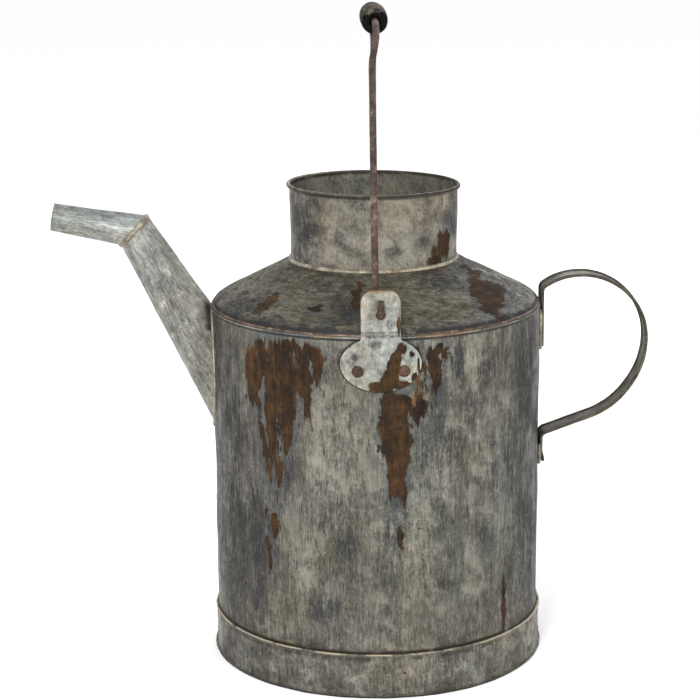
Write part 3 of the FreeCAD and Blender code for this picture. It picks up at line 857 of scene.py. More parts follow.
@dataclass(frozen=True)
class RustyIron:
    """Iron rusted brown all over, with paler rubbed places."""

    name: str
    dark: Colour = (0.014, 0.008, 0.006)
    middle: Colour = (0.043, 0.024, 0.017)
    light: Colour = (0.105, 0.066, 0.047)
    rubbed: Colour = (0.20, 0.165, 0.13)
    rubbed_level: float = 0.58

    def build(self) -> Material:
        """Make the material.

        Returns:
            The material.
        """
        graph = Graph(self.name)
        place = graph.place()
        coarse = graph.clouds(place, 90.0, 6.0, 0.65)
        fine = graph.clouds(place, 650.0, 5.0, 0.7)
        tone = graph.scaled(coarse, 0.6, graph.times(fine, 0.4))
        colour = graph.ramp(tone, ((0.40, self.dark), (0.49, self.middle), (0.59, self.light)))
        worn = graph.between(coarse, self.rubbed_level, self.rubbed_level + 0.06)
        colour = graph.blend(graph.times(worn, 0.6), colour, self.rubbed)
        rough = graph.scaled(fine, -0.35, 0.92)
        relief = graph.bump(fine, 0.0005, 0.9)
        relief = graph.bump(coarse, 0.0009, 0.5, relief)
        return graph.finish(colour, rough, 0.25, relief)


@dataclass(frozen=True)
class BlackenedWood:
    """Turned wood under old black varnish, worn to grey-brown along the top."""

    name: str
    top: float  # height of the grip's upper side

    def build(self) -> Material:
        """Make the material.

        Returns:
            The material.
        """
        graph = Graph(self.name)
        place = graph.place()
        grain = graph.clouds(graph.vector("MULTIPLY", place, (1.0, 0.08, 1.0)), 520.0, 5.0, 0.65)
        patches = graph.clouds(place, 95.0, 5.0, 0.6, 0.5)
        varnish = graph.ramp(grain, ((0.35, (0.001, 0.001, 0.001)), (0.62, (0.006, 0.005, 0.004))))
        wood = graph.ramp(grain, ((0.36, (0.022, 0.017, 0.013)), (0.60, (0.105, 0.088, 0.070))))
        height = graph.parts(place)[2]
        high = graph.between(height, self.top - 0.010, self.top + 0.001)
        wear = graph.maths("ADD", graph.times(high, 0.30), patches)
        worn = graph.between(wear, 0.68, 0.80)
        colour = graph.blend(worn, varnish, wood)
        rough = graph.scaled(worn, 0.25, 0.58)
        relief = graph.bump(grain, 0.0003, 0.6)
        relief = graph.bump(worn, -0.0004, 0.6, relief)
        return graph.finish(colour, rough, 0.0, relief, Specular_IOR_Level=0.04)


# ---- shared sizes
@dataclass(frozen=True)
class Can:
    """Sizes that several sub-assemblies share, read from the frame."""

    radius: float  # outside of the body wall
    wall_top: float
    band_top: float
    neck_radius: float
    neck_base: float
    neck_top: float
    gauge: float = 0.8 * MM

    @staticmethod
    def measured() -> "Can":
        """Read the sizes from the frame's nodes.

        Returns:
            The can.
        """
        collar = node_box("neck_collar")[1]
        rim_proud = 2.0 * MM
        gauge = 0.8 * MM
        return Can(radius=node_box("base_pan")[1].x + gauge, wall_top=node_box("body_wall")[1].z,
                   band_top=node_box("foot_band")[1].z, neck_radius=collar.x - rim_proud,
                   neck_base=node_box("shoulder_cone")[1].z, neck_top=collar.z, gauge=gauge)


def degrees_from_front(angle: float) -> float:
    """Turn an angle from +X into degrees from the front of the can, -180 to 180."""
    turned = math.degrees(angle) + 90.0
    return (turned + 180.0) % 360.0 - 180.0


def find_root(rule: Callable[[float], float], low: float, high: float) -> float:
    """Where a rule crosses zero.

    Args:
        rule: changes sign once between low and high.
        low: start of the search.
        high: end of the search.

    Returns:
        The crossing.
    """
    rising = rule(high) > 0
    for _ in range(40):
        middle = (low + high) / 2
        if (rule(middle) > 0) == rising:
            high = middle
        else:
            low = middle
    return (low + high) / 2


def arc_points(centre: tuple[float, float], radius: float, start: float, end: float,
               count: int) -> list[Spot]:
    """Points along an arc in a plane, its angles in degrees."""
    turns = [math.radians(angle) for angle in spread(start, end, count)]
    return [(centre[0] + radius * math.cos(turn), centre[1] + radius * math.sin(turn)) for turn in turns]


# ---- spout
SPOUT_RISE = math.radians(60.1)
NOZZLE_RISE = math.radians(9.8)
SPOUT_TILT = -SPOUT_RISE
NOZZLE_TILT = -NOZZLE_RISE


@dataclass
class Spout:
    """Tapered lower tube, mitred elbow and nozzle, with their solder."""

    can: Can
    finishes: "Finishes"
    root_drop: float = 39.2 * MM  # wall top down to the tube's axis at the wall
    root_radius: float = 20.6 * MM
    tube_length: float = 105.5 * MM
    elbow_radius: float = 13.1 * MM
    mitre: float = math.radians(46.3)
    nozzle_length: float = 57.2 * MM
    tip_radius: float = 9.2 * MM
    seam_proud: float = 0.55 * MM
    columns: int = 96

    def __post_init__(self) -> None:
        """Work out the axes and the elbow."""
        self.along = Vector((-math.cos(SPOUT_RISE), 0, math.sin(SPOUT_RISE)))
        self.over = Vector((math.sin(SPOUT_RISE), 0, math.cos(SPOUT_RISE)))
        self.nozzle_along = Vector((-math.cos(NOZZLE_RISE), 0, math.sin(NOZZLE_RISE)))
        self.nozzle_over = Vector((math.sin(NOZZLE_RISE), 0, math.cos(NOZZLE_RISE)))
        self.root = Vector((-self.can.radius, 0, self.can.wall_top - self.root_drop))
        self.elbow = self.root + self.along * self.tube_length
        self.tip = self.elbow + self.nozzle_along * self.nozzle_length
        self.cut = Vector((-math.sin(self.mitre), 0, math.cos(self.mitre)))

    def tube_radius(self, far: float) -> float:
        """Outside radius of the lower tube at a distance from the wall along its axis."""
        taper = (self.root_radius - self.elbow_radius) / self.tube_length
        return self.root_radius - taper * far

    def tube_point(self, far: float, turn: float, proud: float = 0.0) -> Vector:
        """Point on the lower tube; turn 0 is its upper side.

        Args:
            far: distance along the axis.
            turn: angle round it.
            proud: distance outside the skin.

        Returns:
            The point.
        """
        reach = self.tube_radius(far) + proud
        ring = self.over * (math.cos(turn) * reach) + Vector((0, math.sin(turn) * reach, 0))
        return self.root + self.along * far + ring

    def wall_end(self, turn: float, proud: float = 0.0, off_wall: float = 0.0) -> float:
        """Distance along the axis where a line of the tube meets the can.

        Args:
            turn: angle round it.
            proud: distance outside the skin.
            off_wall: distance off the can's wall.

        Returns:
            The distance.
        """
        def gap(far: float) -> float:
            """Distance from the wall at a place along the axis."""
            point = self.tube_point(far, turn, proud)
            return math.hypot(point.x, point.y) - self.can.radius - off_wall
        return find_root(gap, -0.05, 0.09)

    def mitre_end(self, turn: float, proud: float = 0.0) -> float:
        """Distance along the axis where a line of the tube meets the mitre cut."""
        return find_root(lambda far: (self.tube_point(far, turn, proud) - self.elbow).dot(self.cut),
                         50 * MM, 160 * MM)

    def seam_shift(self, turn: float, reach: float) -> float:
        """Rise of the lapped seam along the upper side, with its step on one edge."""
        off = ((turn + math.pi) % FULL_TURN - math.pi) * reach
        return self.seam_proud * (step_up(off, -3.4 * MM, -2.2 * MM) - step_up(off, 1.6 * MM, 3.6 * MM))

    def dent(self, place: Vector) -> float:
        """Small unevenness of hand-rolled sheet."""
        return 0.45 * MM * roughly(place, 0.035) + 0.12 * MM * roughly(place, 0.008, 2)

    def build_tube(self) -> None:
        """Lower tube from the wall to the mitre."""
        rows = []
        for share in spread(0.0, 1.0, 64):
            row = []
            for column in range(self.columns):
                turn = FULL_TURN * column / self.columns
                start = self.wall_end(turn, 0.0, -0.3 * MM)
                end = self.mitre_end(turn)
                far = start + (end - start) * share
                calm = math.sin(math.pi * min(1.0, max(0.0, share))) ** 0.5
                plain = self.tube_point(far, turn)
                proud = self.dent(plain) * calm + self.seam_shift(turn, self.tube_radius(far))
                row.append(self.tube_point(far, turn, proud))
            rows.append(row)
        points = [point for row in rows for point in row]
        faces = grid_faces(len(rows), self.columns, False, True)
        piece = make_piece("spout_lower_tube_formed", points, faces)
        thicken(piece, self.can.gauge)
        dress(piece, self.finishes.of("spout_zinc"), "can", ["spout_lower_tube"])

    def nozzle_point(self, share: float, turn: float, proud: float = 0.0) -> Vector:
        """Point on the nozzle from the mitre (share 0) to the tip (share 1).

        Args:
            share: share of the way, 0 to 1.
            turn: angle round it.
            proud: distance outside the skin.

        Returns:
            The point.
        """
        start = self.tube_point(self.mitre_end(turn), turn)
        ring = self.nozzle_over * math.cos(turn) + Vector((0, math.sin(turn), 0))
        end = self.tip + ring * self.tip_radius
        return start.lerp(end, share) + ring * proud

    def build_nozzle(self) -> None:
        """Nozzle from the mitre to its square-cut tip."""
        points = []
        shares = spread(0.0, 1.0, 44)
        for share in shares:
            for column in range(self.columns):
                turn = FULL_TURN * column / self.columns
                plain = self.nozzle_point(share, turn)
                proud = self.dent(plain) * min(1.0, share * 6) * 0.7
                proud += self.seam_shift(turn, self.tip_radius) * 0.9
                points.append(self.nozzle_point(share, turn, proud))
        faces = grid_faces(len(shares), self.columns, False, True)
        piece = make_piece("spout_nozzle_formed", points, faces)
        thicken(piece, self.can.gauge)
        dress(piece, self.finishes.of("nozzle_zinc"), "can", ["spout_nozzle"])

    def build_elbow_solder(self) -> None:
        """Lumpy bead of solder round the mitre."""
        count = 150
        turns = [FULL_TURN * number / count for number in range(count)]
        path = [self.tube_point(self.mitre_end(turn), turn) for turn in turns]

        def outline(number: int, share: float) -> Spot:
            """Lumpy round outline of the bead.

            Args:
                number: the path point's number.
                share: share of the way, 0 to 1.

            Returns:
                (Offset across, offset up) of the outline.
            """
            lump = 1.0 + 0.45 * roughly(path[number], 0.007, 3)
            angle = FULL_TURN * share
            size = 1.25 * MM * lump
            return size * 1.5 * math.cos(angle), size * math.sin(angle)
        piece = swept_piece("spout_elbow_solder_bead", path, outline, 12, self.cut, closed=True)
        face_outward(piece)
        dress(piece, self.finishes.of("solder"), "can", ["spout_elbow_solder"])

    def build_base_solder(self) -> None:
        """Solder run where the lower tube meets the wall."""
        count = 260
        turns = [FULL_TURN * number / count for number in range(count)]
        path = [self.tube_point(self.wall_end(turn, 0.6 * MM), turn, 0.6 * MM) for turn in turns]
        points = []
        sides = 12
        for number, place in enumerate(path):
            along = (path[(number + 1) % count] - path[number - 1]).normalized()
            wall_out = Vector((place.x, place.y, 0)).normalized()
            across = along.cross(wall_out).normalized()
            lump = 1.0 + 0.40 * roughly(place, 0.010, 3)
            for corner in range(sides):
                angle = FULL_TURN * corner / sides
                points.append(place + across * (1.9 * MM * lump * math.cos(angle))
                              + wall_out * (1.15 * MM * lump * math.sin(angle)))
        piece = make_piece("spout_base_solder_run", points, grid_faces(count, sides, True, True))
        face_outward(piece)
        dress(piece, self.finishes.of("solder"), "can", ["spout_base_solder"])

    def inside_bore(self, point: Vector) -> float:
        """How far a point is outside the lower tube's bore; negative inside it.

        Args:
            point: the point.

        Returns:
            The distance.
        """
        away = point - self.root
        far = away.dot(self.along)
        across = (away - self.along * far).length
        return across - (self.tube_radius(far) - self.can.gauge)

    def build(self) -> None:
        """Build and dress every piece of the spout."""
        self.build_tube()
        self.build_nozzle()
        self.build_elbow_solder()
        self.build_base_solder()


# ---- body, base and foot
@dataclass
class Body:
    """Rolled wall, base pan with its solder, and the foot band with its rivets."""

    can: Can
    finishes: "Finishes"
    spout: Spout
    segments: int = 420
    lip_proud: float = 0.6 * MM
    lip_height: float = 1.6 * MM
    seam_angle: float = math.radians(42.0)
    seam_width: float = 9.0 * MM
    band_gauge: float = 1.2 * MM
    hem_radius: float = 1.0 * MM
    bead_radius: float = 1.4 * MM
    rivet_angle: float = math.radians(-70.0)
    rivet_count: int = 16
    rivet_low: float = 7.2 * MM
    rivet_high: float = 23.5 * MM

    def calm(self, front: float, height: float) -> float:
        """How freely the wall may bulge: none at its edges and under fittings.

        Args:
            front: degrees from the front.
            height: its height.

        Returns:
            Share of a full bulge, 0 to 1.
        """
        edges = step_up(height, self.can.band_top, self.can.band_top + 16 * MM)
        edges *= 1 - step_up(height, self.can.wall_top - 16 * MM, self.can.wall_top - 4 * MM)
        below_top = self.can.wall_top - height
        ear = min(bell(abs(front), 0, 18.0), 1.0) + bell(abs(front), 180.0, 18.0)
        fitting = ear * (1 - step_up(below_top, 36 * MM, 56 * MM))
        handle = bell(front, 90.0, 9.0) * (1 - step_up(below_top, 110 * MM, 135 * MM))
        spout = bell(front, -90.0, 16.0) * (1 - step_up(below_top, 85 * MM, 110 * MM))
        return edges * max(0.12, 1 - fitting - handle - spout)

    def wall_shift(self, angle: float, radius: float, height: float) -> float:
        """Waves, hammer marks and the lap seam of the wall.

        Args:
            angle: angle round the axis.
            radius: distance from the axis.
            height: its height.

        Returns:
            Shift away from the axis.
        """
        front = degrees_from_front(angle)
        on_wall = Vector((math.cos(angle) * radius, math.sin(angle) * radius, height))
        broad = 0.95 * MM * roughly(on_wall, 0.085, 2)
        flutes = 0.35 * MM * roughly(Vector((on_wall.x, on_wall.y, height * 0.22)), 0.022, 2)
        hammered = bell(front, 32.0, 34.0) * bell(height, 95 * MM, 62 * MM)
        hammered += 0.35 + 0.5 * bell(front, -150.0, 45.0)
        cell = Vector((angle * radius / (15 * MM), height / (19 * MM), 0.0))
        nearest = noise.voronoi(cell)[0][0]
        dish = -0.75 * MM * hammered * (1 - min(1.0, nearest / 0.62) ** 2)
        low_dent = -1.1 * MM * bell(front, 62.0, 16.0) * bell(height, 150 * MM, 32 * MM)
        bulge = 0.9 * MM * bell(front, 84.0, 14.0) * bell(height, 205 * MM, 20 * MM)
        free = (broad + flutes + dish + low_dent + bulge) * self.calm(front, height)
        off_seam = abs((angle - self.seam_angle + math.pi) % FULL_TURN - math.pi) * radius
        edge = self.seam_width / 2
        lap = self.can.gauge * (1 - step_up(off_seam, edge - 0.6 * MM, edge + 0.6 * MM))
        lap *= step_up(height, self.can.band_top, self.can.band_top + 0.5 * MM)
        lap *= 1 - step_up(height, self.can.wall_top - 2.4 * MM, self.can.wall_top - 1.4 * MM)
        return free + lap

    def wall_section(self) -> list[Spot]:
        """The wall's outer skin from its foot to its proud lip.

        Returns:
            The outline as (radius, height).
        """
        radius = self.can.radius
        top = self.can.wall_top
        lip = top - self.lip_height
        foot = 3.0 * MM
        below = [(radius, height) for height in spread(foot, self.can.band_top - 1 * MM, 12)]
        wall = [(radius, height) for height in spread(self.can.band_top, lip - 0.6 * MM, 128)]
        edge = [(radius + 0.35 * self.lip_proud, lip - 0.25 * MM),
                (radius + self.lip_proud, lip + 0.2 * MM),
                (radius + self.lip_proud, top - 0.45 * MM),
                (radius + 0.6 * self.lip_proud, top - 0.1 * MM),
                (radius + 0.1 * MM, top)]
        return below + wall + edge

    def build_wall(self) -> None:
        """Wall with the spout's hole cut and its edge trimmed to the bore."""
        piece = turned_piece("body_wall_rolled", self.wall_section(), self.segments, self.wall_shift, False)
        mesh = piece.data
        points = [vertex.co.copy() for vertex in mesh.vertices]
        outside = [self.spout.inside_bore(point) if point.x < 0 else 1.0 for point in points]
        kept = []
        dropped = set()
        for face in mesh.polygons:
            corners = list(face.vertices)
            middle = sum((outside[number] for number in corners), 0.0) / len(corners)
            if middle > 0:
                kept.append(corners)
            else:
                dropped.update(corners)
        rim = {number for face in kept for number in face} & dropped
        for number in rim:
            points[number] = self.trimmed(points[number])
        used = sorted({number for face in kept for number in face})
        renumbered = {old: new for new, old in enumerate(used)}
        bpy.data.objects.remove(piece)
        piece = make_piece("body_wall_rolled", [points[number] for number in used],
                           [[renumbered[number] for number in face] for face in kept])
        thicken(piece, self.can.gauge)
        dress(piece, self.finishes.of("wall_zinc"), "can", ["body_wall"])

    def trimmed(self, point: Vector) -> Vector:
        """Slide a point over the wall until it lies on the spout's bore.

        Args:
            point: the point.

        Returns:
            The moved point.
        """
        reach = math.hypot(point.x, point.y)
        middle = self.spout.root.z
        turn = math.atan2(point.y, -point.x)
        rise = point.z - middle

        def along_wall(share: float) -> Vector:
            """Point over the wall, a share of the way out from the bore."""
            angle = turn * share
            return Vector((-reach * math.cos(angle), reach * math.sin(angle), middle + rise * share))
        share = find_root(lambda part: self.spout.inside_bore(along_wall(part)), 0.5, 1.6)
        return along_wall(share)

    def band_shift(self, angle: float, radius: float, height: float) -> float:
        """Shallow knocks in the foot band and the step of its lap.

        Args:
            angle: angle round the axis.
            radius: distance from the axis.
            height: its height.

        Returns:
            Shift away from the axis.
        """
        on_band = Vector((math.cos(angle) * radius, math.sin(angle) * radius, height))
        if radius < self.can.radius + 0.5 * self.band_gauge:
            return 0.0
        knocks = 0.32 * MM * roughly(on_band, 0.024, 3) + 0.12 * MM * roughly(on_band, 0.006, 2)
        off = ((angle - self.rivet_angle + math.pi) % FULL_TURN - math.pi) * radius
        lap = 0.5 * MM * step_up(off, -6.6 * MM, -5.6 * MM) * (1 - step_up(off, 30 * MM, 70 * MM))
        return max(-0.35 * MM, knocks) + lap

    def band_section(self) -> list[Spot]:
        """Closed outline of the foot band: bead, band, hem and inner face.

        Returns:
            The outline as (radius, height).
        """
        inner = self.can.radius + 0.03 * MM
        outer = self.can.radius + self.band_gauge
        bead = (self.can.radius + self.bead_radius, self.bead_radius - 0.1 * MM)
        hem = (outer - 0.2 * MM, self.can.band_top - self.hem_radius)
        foot = arc_points(bead, self.bead_radius, -66.0, 78.0, 9)
        face = [(outer, height) for height in spread(3.4 * MM, self.can.band_top - 2.4 * MM, 14)]
        fold = arc_points(hem, self.hem_radius, -52.0, 96.0, 9)
        back = [(inner, self.can.band_top - 0.15 * MM), (inner, 2.0 * MM), (inner + 0.25 * MM, 0.3 * MM)]
        return foot + face + fold + back

    def build_band(self) -> None:
        """Foot band with its rolled bead and folded hem."""
        piece = turned_piece("foot_band_rolled", self.band_section(), self.segments, self.band_shift)
        dress(piece, self.finishes.of("band_zinc"), "can", ["foot_band", "foot_edge_wire"])

    def build_base(self) -> None:
        """Base pan with its flange."""
        low, high = node_box("base_pan")
        edge = high.x - 0.02 * MM
        bend = 1.5 * MM
        section = [(edge, height) for height in spread(low.z, high.z - bend, 5)]
        section += arc_points((edge - bend, high.z - bend), bend, 15.0, 90.0, 6)
        section += [(reach, high.z) for reach in spread(edge - 4 * MM, 3 * MM, 40)]
        columns = 180
        piece = turned_piece("base_pan_pressed", section, columns, no_shift, False)
        last = len(section) - 1
        points = []
        for vertex in piece.data.vertices:
            place = vertex.co.copy()
            reach = math.hypot(place.x, place.y)
            inward = 1 - step_up(reach, edge - 25 * MM, edge - 3 * MM)
            place.z += inward * (0.9 * MM * roughly(place, 0.07, 2) - 0.7 * MM)
            points.append(place)
        faces = [list(face.vertices) for face in piece.data.polygons]
        faces.append([last * columns + column for column in range(columns)])
        bpy.data.objects.remove(piece)
        piece = make_piece("base_pan_pressed", points, faces)
        thicken(piece, self.can.gauge)
        dress(piece, self.finishes.of("base_zinc"), "can", ["base_pan"])

    def build_base_solder(self) -> None:
        """Solder round the base, inside the can."""
        low, high = node_box("base_solder")
        reach = high.x - 0.1 * MM
        leg = high.z - low.z
        corner = [(reach, low.z), (reach, high.z),
                  (reach - 0.45 * leg, low.z + 0.35 * leg), (reach - leg, low.z)]
        fillet = turned_piece("base_solder_fillet", corner, 240, self.solder_shift)
        face_outward(fillet)
        dress(fillet, self.finishes.of("dull_solder"), "can", ["base_solder"])

    def solder_shift(self, angle: float, radius: float, height: float) -> float:
        """Lumps in a run of solder."""
        place = Vector((math.cos(angle) * radius, math.sin(angle) * radius, height))
        return 0.30 * MM * roughly(place, 0.009, 3)

    def build_rivets(self) -> None:
        """Small rivets round the foot and in the band's lap."""
        step = FULL_TURN / self.rivet_count
        places = [(self.rivet_angle + step * number, self.rivet_low) for number in range(self.rivet_count)]
        places.append((self.rivet_angle, self.rivet_high))
        shapes = []
        for number, (angle, height) in enumerate(places):
            outward = Vector((math.cos(angle), math.sin(angle), 0))
            seat = outward * (self.can.radius + self.band_gauge - 0.1 * MM) + Vector((0, 0, height))
            shapes.append(rivet_shape(seat, outward, 2.0 * MM, 0.85 * MM, 3.4 * MM, number))
        piece = joined_piece("foot_band_rivet_heads", shapes)
        dress(piece, self.finishes.of("foot_rivet_iron"), "can", ["foot_band_rivets"])

    def build(self) -> None:
        """Build and dress the body, its base and its foot."""
        self.build_wall()
        self.build_band()
        self.build_base()
        self.build_base_solder()
        self.build_rivets()


Shape = tuple[list[Vector], list[list[int]]]


def shape_about(origin: Vector, axis: Vector, section: Sequence[Spot], segments: int,
                shift: Callable[[float, float], float]) -> Shape:
    """Turn a section round any axis.

    Args:
        origin: where the section's distance is zero.
        axis: unit vector of the axis.
        section: (radius, distance along the axis) points; a radius of zero closes an end.
        segments: columns round the axis.
        shift: factor on the radius from (angle, distance).

    Returns:
        Points and faces.
    """
    side = axis.orthogonal().normalized()
    other = axis.cross(side)
    points = []
    for radius, distance in section:
        for column in range(segments):
            angle = FULL_TURN * column / segments
            reach = radius * shift(angle, distance)
            points.append(origin + axis * distance + side * (reach * math.cos(angle))
                          + other * (reach * math.sin(angle)))
    faces = [list(face) for face in grid_faces(len(section), segments, False, True)]
    return points, faces


def rivet_shape(seat: Vector, outward: Vector, head: float, rise: float, depth: float, seed: int) -> Shape:
    """A hammered rivet head on its shank.

    Args:
        seat: centre of the head's underside.
        outward: unit vector out of the sheet.
        head: head radius.
        rise: head height.
        depth: how far the shank goes in.
        seed: makes each head a little different.

    Returns:
        Points and faces.
    """
    section = [(0.45 * head, -depth), (0.45 * head, -0.02 * MM), (0.98 * head, 0.0), (head, 0.16 * rise)]
    for share in spread(0.30, 0.98, 7):
        section.append((head * math.cos(share * math.pi / 2) ** 0.75, rise * math.sin(share * math.pi / 2)))

    def uneven(angle: float, distance: float) -> float:
        """Share by which the head is out of round."""
        place = Vector((math.cos(angle), math.sin(angle), seed * 3.7 + distance / head))
        return 1.0 + 0.09 * noise.noise(place * 1.4)
    segments = 22
    points, faces = shape_about(seat, outward, section, segments, uneven)
    last = (len(section) - 1) * segments
    faces.append([last + column for column in range(segments)])
    faces.append(list(reversed(range(segments))))
    return points, faces


def joined_piece(name: str, shapes: Sequence[Shape]) -> Piece:
    """One piece from several separate shapes.

    Args:
        name: the piece's name.
        shapes: (points, faces) of each.

    Returns:
        The piece.
    """
    points: list[Vector] = []
    faces: list[list[int]] = []
    for shape_points, shape_faces in shapes:
        start = len(points)
        points.extend(shape_points)
        faces.extend([[start + number for number in face] for face in shape_faces])
    piece = make_piece(name, points, faces)
    face_outward(piece)
    return piece


# ---- shoulder and neck
@dataclass
class ShoulderAndNeck:
    """Sloping shoulder, upright collar with its rolled rim, and their solder."""

    can: Can
    finishes: "Finishes"
    segments: int = 420
    slope: float = math.radians(27.36)
    bend: float = 4.0 * MM
    bend_rise: float = 0.3 * MM
    skirt: float = 3.0 * MM
    rim_radius: float = 1.4 * MM
    tuck: float = 6.0 * MM
    aside: float = 1.0 * MM  # collar set this far toward the spout
    tilt: float = 0.012  # and raised on that side

    def set_askew(self, piece: Piece) -> None:
        """Set the collar or its solder slightly aside and out of level.

        Args:
            piece: the piece.
        """
        for vertex in piece.data.vertices:
            share = step_up(vertex.co.z, self.can.neck_base, self.can.neck_top)
            vertex.co.z -= self.tilt * share * vertex.co.x
            vertex.co.x -= self.aside

    def height_at(self, radius: float) -> float:
        """Height of the slope's outer face."""
        return self.can.neck_base - math.tan(self.slope) * (radius - self.can.neck_radius)

    def shoulder_section(self) -> list[Spot]:
        """Outer skin from the tucked skirt up the bend and the slope.

        Returns:
            The outline as (radius, height).
        """
        edge = self.can.radius - self.can.gauge - 0.05 * MM
        centre = (edge - self.bend, self.can.wall_top + self.bend_rise)
        skirt = [(edge, centre[1] - self.skirt), (edge, centre[1] - self.skirt / 2)]
        bend = arc_points(centre, self.bend, 0.0, 90.0 - math.degrees(self.slope), 14)
        start = bend[-1][0]
        slope = [(radius, self.height_at(radius))
                 for radius in spread(start - 1.2 * MM, self.can.neck_radius - 0.1 * MM, 44)]
        return skirt + bend + slope

    def shoulder_dent(self, place: Vector) -> float:
        """Unevenness of the beaten shoulder, square to its slope.

        Args:
            place: the point.

        Returns:
            Rise of the skin.
        """
        radius = math.hypot(place.x, place.y)
        free = step_up(radius, self.can.neck_radius, self.can.neck_radius + 9 * MM)
        free *= 1 - step_up(radius, self.can.radius - 9 * MM, self.can.radius - 1 * MM)
        broad = 0.75 * MM * roughly(place, 0.045, 3)
        fine = 0.16 * MM * roughly(place, 0.009, 2)
        return free * (broad + fine)

    def build_shoulder(self) -> None:
        """Shoulder skin with its dents and sheet gauge."""
        section = self.shoulder_section()
        piece = turned_piece("shoulder_cone_beaten", section, self.segments, no_shift, False)
        upward = Vector((0, 0, math.cos(self.slope)))
        for vertex in piece.data.vertices:
            place = vertex.co.copy()
            dent = self.shoulder_dent(place)
            outward = Vector((place.x, place.y, 0)).normalized()
            vertex.co = place + (outward * math.sin(self.slope) + upward) * dent
        thicken(piece, self.can.gauge)
        dress(piece, self.finishes.of("shoulder_zinc"), "can", ["shoulder_cone"])

    def build_shoulder_solder(self) -> None:
        """Thin uneven run of solder behind the wall's lip."""
        outer = self.can.radius - 0.05 * MM
        inner = self.can.radius - 1.2 * MM
        top = self.can.wall_top
        section = [(inner, top - 0.4 * MM), (outer, top - 0.3 * MM), (outer, top + 0.25 * MM),
                   (outer - 0.45 * MM, top + 0.95 * MM), (inner, top + 1.5 * MM)]

        def lumps(angle: float, radius: float, height: float) -> float:
            """Lumps on the outside of the run."""
            place = Vector((math.cos(angle), math.sin(angle), 0)) * self.can.radius
            return 0.28 * MM * roughly(place, 0.012, 3) if radius > inner + 0.1 * MM else 0.0
        piece = turned_piece("shoulder_solder_run", section, self.segments, lumps)
        face_outward(piece)
        dress(piece, self.finishes.of("dull_solder"), "can", ["shoulder_solder"])

    def neck_shift(self, angle: float, radius: float, height: float) -> float:
        """The collar is a little out of round and lightly knocked.

        Args:
            angle: angle round the axis.
            radius: distance from the axis; not used.
            height: its height.

        Returns:
            Shift away from the axis.
        """
        share = (height - self.can.neck_base) / (self.can.neck_top - self.can.neck_base)
        place = Vector((math.cos(angle) * 0.058, math.sin(angle) * 0.058, height))
        oval = 0.5 * MM * math.cos(2 * angle + 0.6) * step_up(share, 0.1, 1.0)
        knocks = 0.45 * MM * roughly(place, 0.036, 3) * step_up(share, 0.02, 0.25)
        return oval + knocks * (1 - 0.5 * step_up(share, 0.85, 1.0))

    def neck_section(self) -> list[Spot]:
        """Closed outline of the collar: outer face, rolled rim and inner face.

        Returns:
            The outline as (radius, height).
        """
        outer = self.can.neck_radius
        inner = outer - self.can.gauge
        foot = self.can.neck_base - self.tuck
        rim = (inner + self.rim_radius, self.can.neck_top - self.rim_radius)
        face = [(outer, height) for height in spread(foot, rim[1] - self.rim_radius * 0.98, 34)]
        roll = arc_points(rim, self.rim_radius, -62.0, 180.0, 16)
        back = [(inner, height) for height in spread(rim[1] - 1.2 * MM, foot, 20)]
        return face + roll + back

    def build_neck(self) -> None:
        """Collar with its rolled rim."""
        piece = turned_piece("neck_collar_rolled", self.neck_section(), 320, self.neck_shift)
        self.set_askew(piece)
        dress(piece, self.finishes.of("neck_zinc"), "can", ["neck_collar", "neck_rim_wire"])

    def build_neck_solder(self) -> None:
        """Bead of solder round the collar's foot."""
        inner = self.can.neck_radius - 0.3 * MM
        base = self.can.neck_base
        section = [(inner, base - 0.4 * MM), (inner + 2.1 * MM, base - 1.15 * MM),
                   (inner + 1.8 * MM, base + 0.1 * MM), (inner + 1.1 * MM, base + 1.05 * MM),
                   (inner, base + 1.7 * MM)]

        def lumps(angle: float, radius: float, height: float) -> float:
            """Lumps on the outside of the run."""
            place = Vector((math.cos(angle), math.sin(angle), 0)) * self.can.neck_radius
            return 0.40 * MM * roughly(place, 0.008, 3) if radius > inner + 0.1 * MM else 0.0
        piece = turned_piece("neck_solder_bead", section, 360, lumps)
        self.set_askew(piece)
        face_outward(piece)
        dress(piece, self.finishes.of("solder"), "can", ["neck_solder"])

    def build(self) -> None:
        """Build and dress the shoulder and the neck."""
        self.build_shoulder()
        self.build_shoulder_solder()
        self.build_neck()
        self.build_neck_solder()


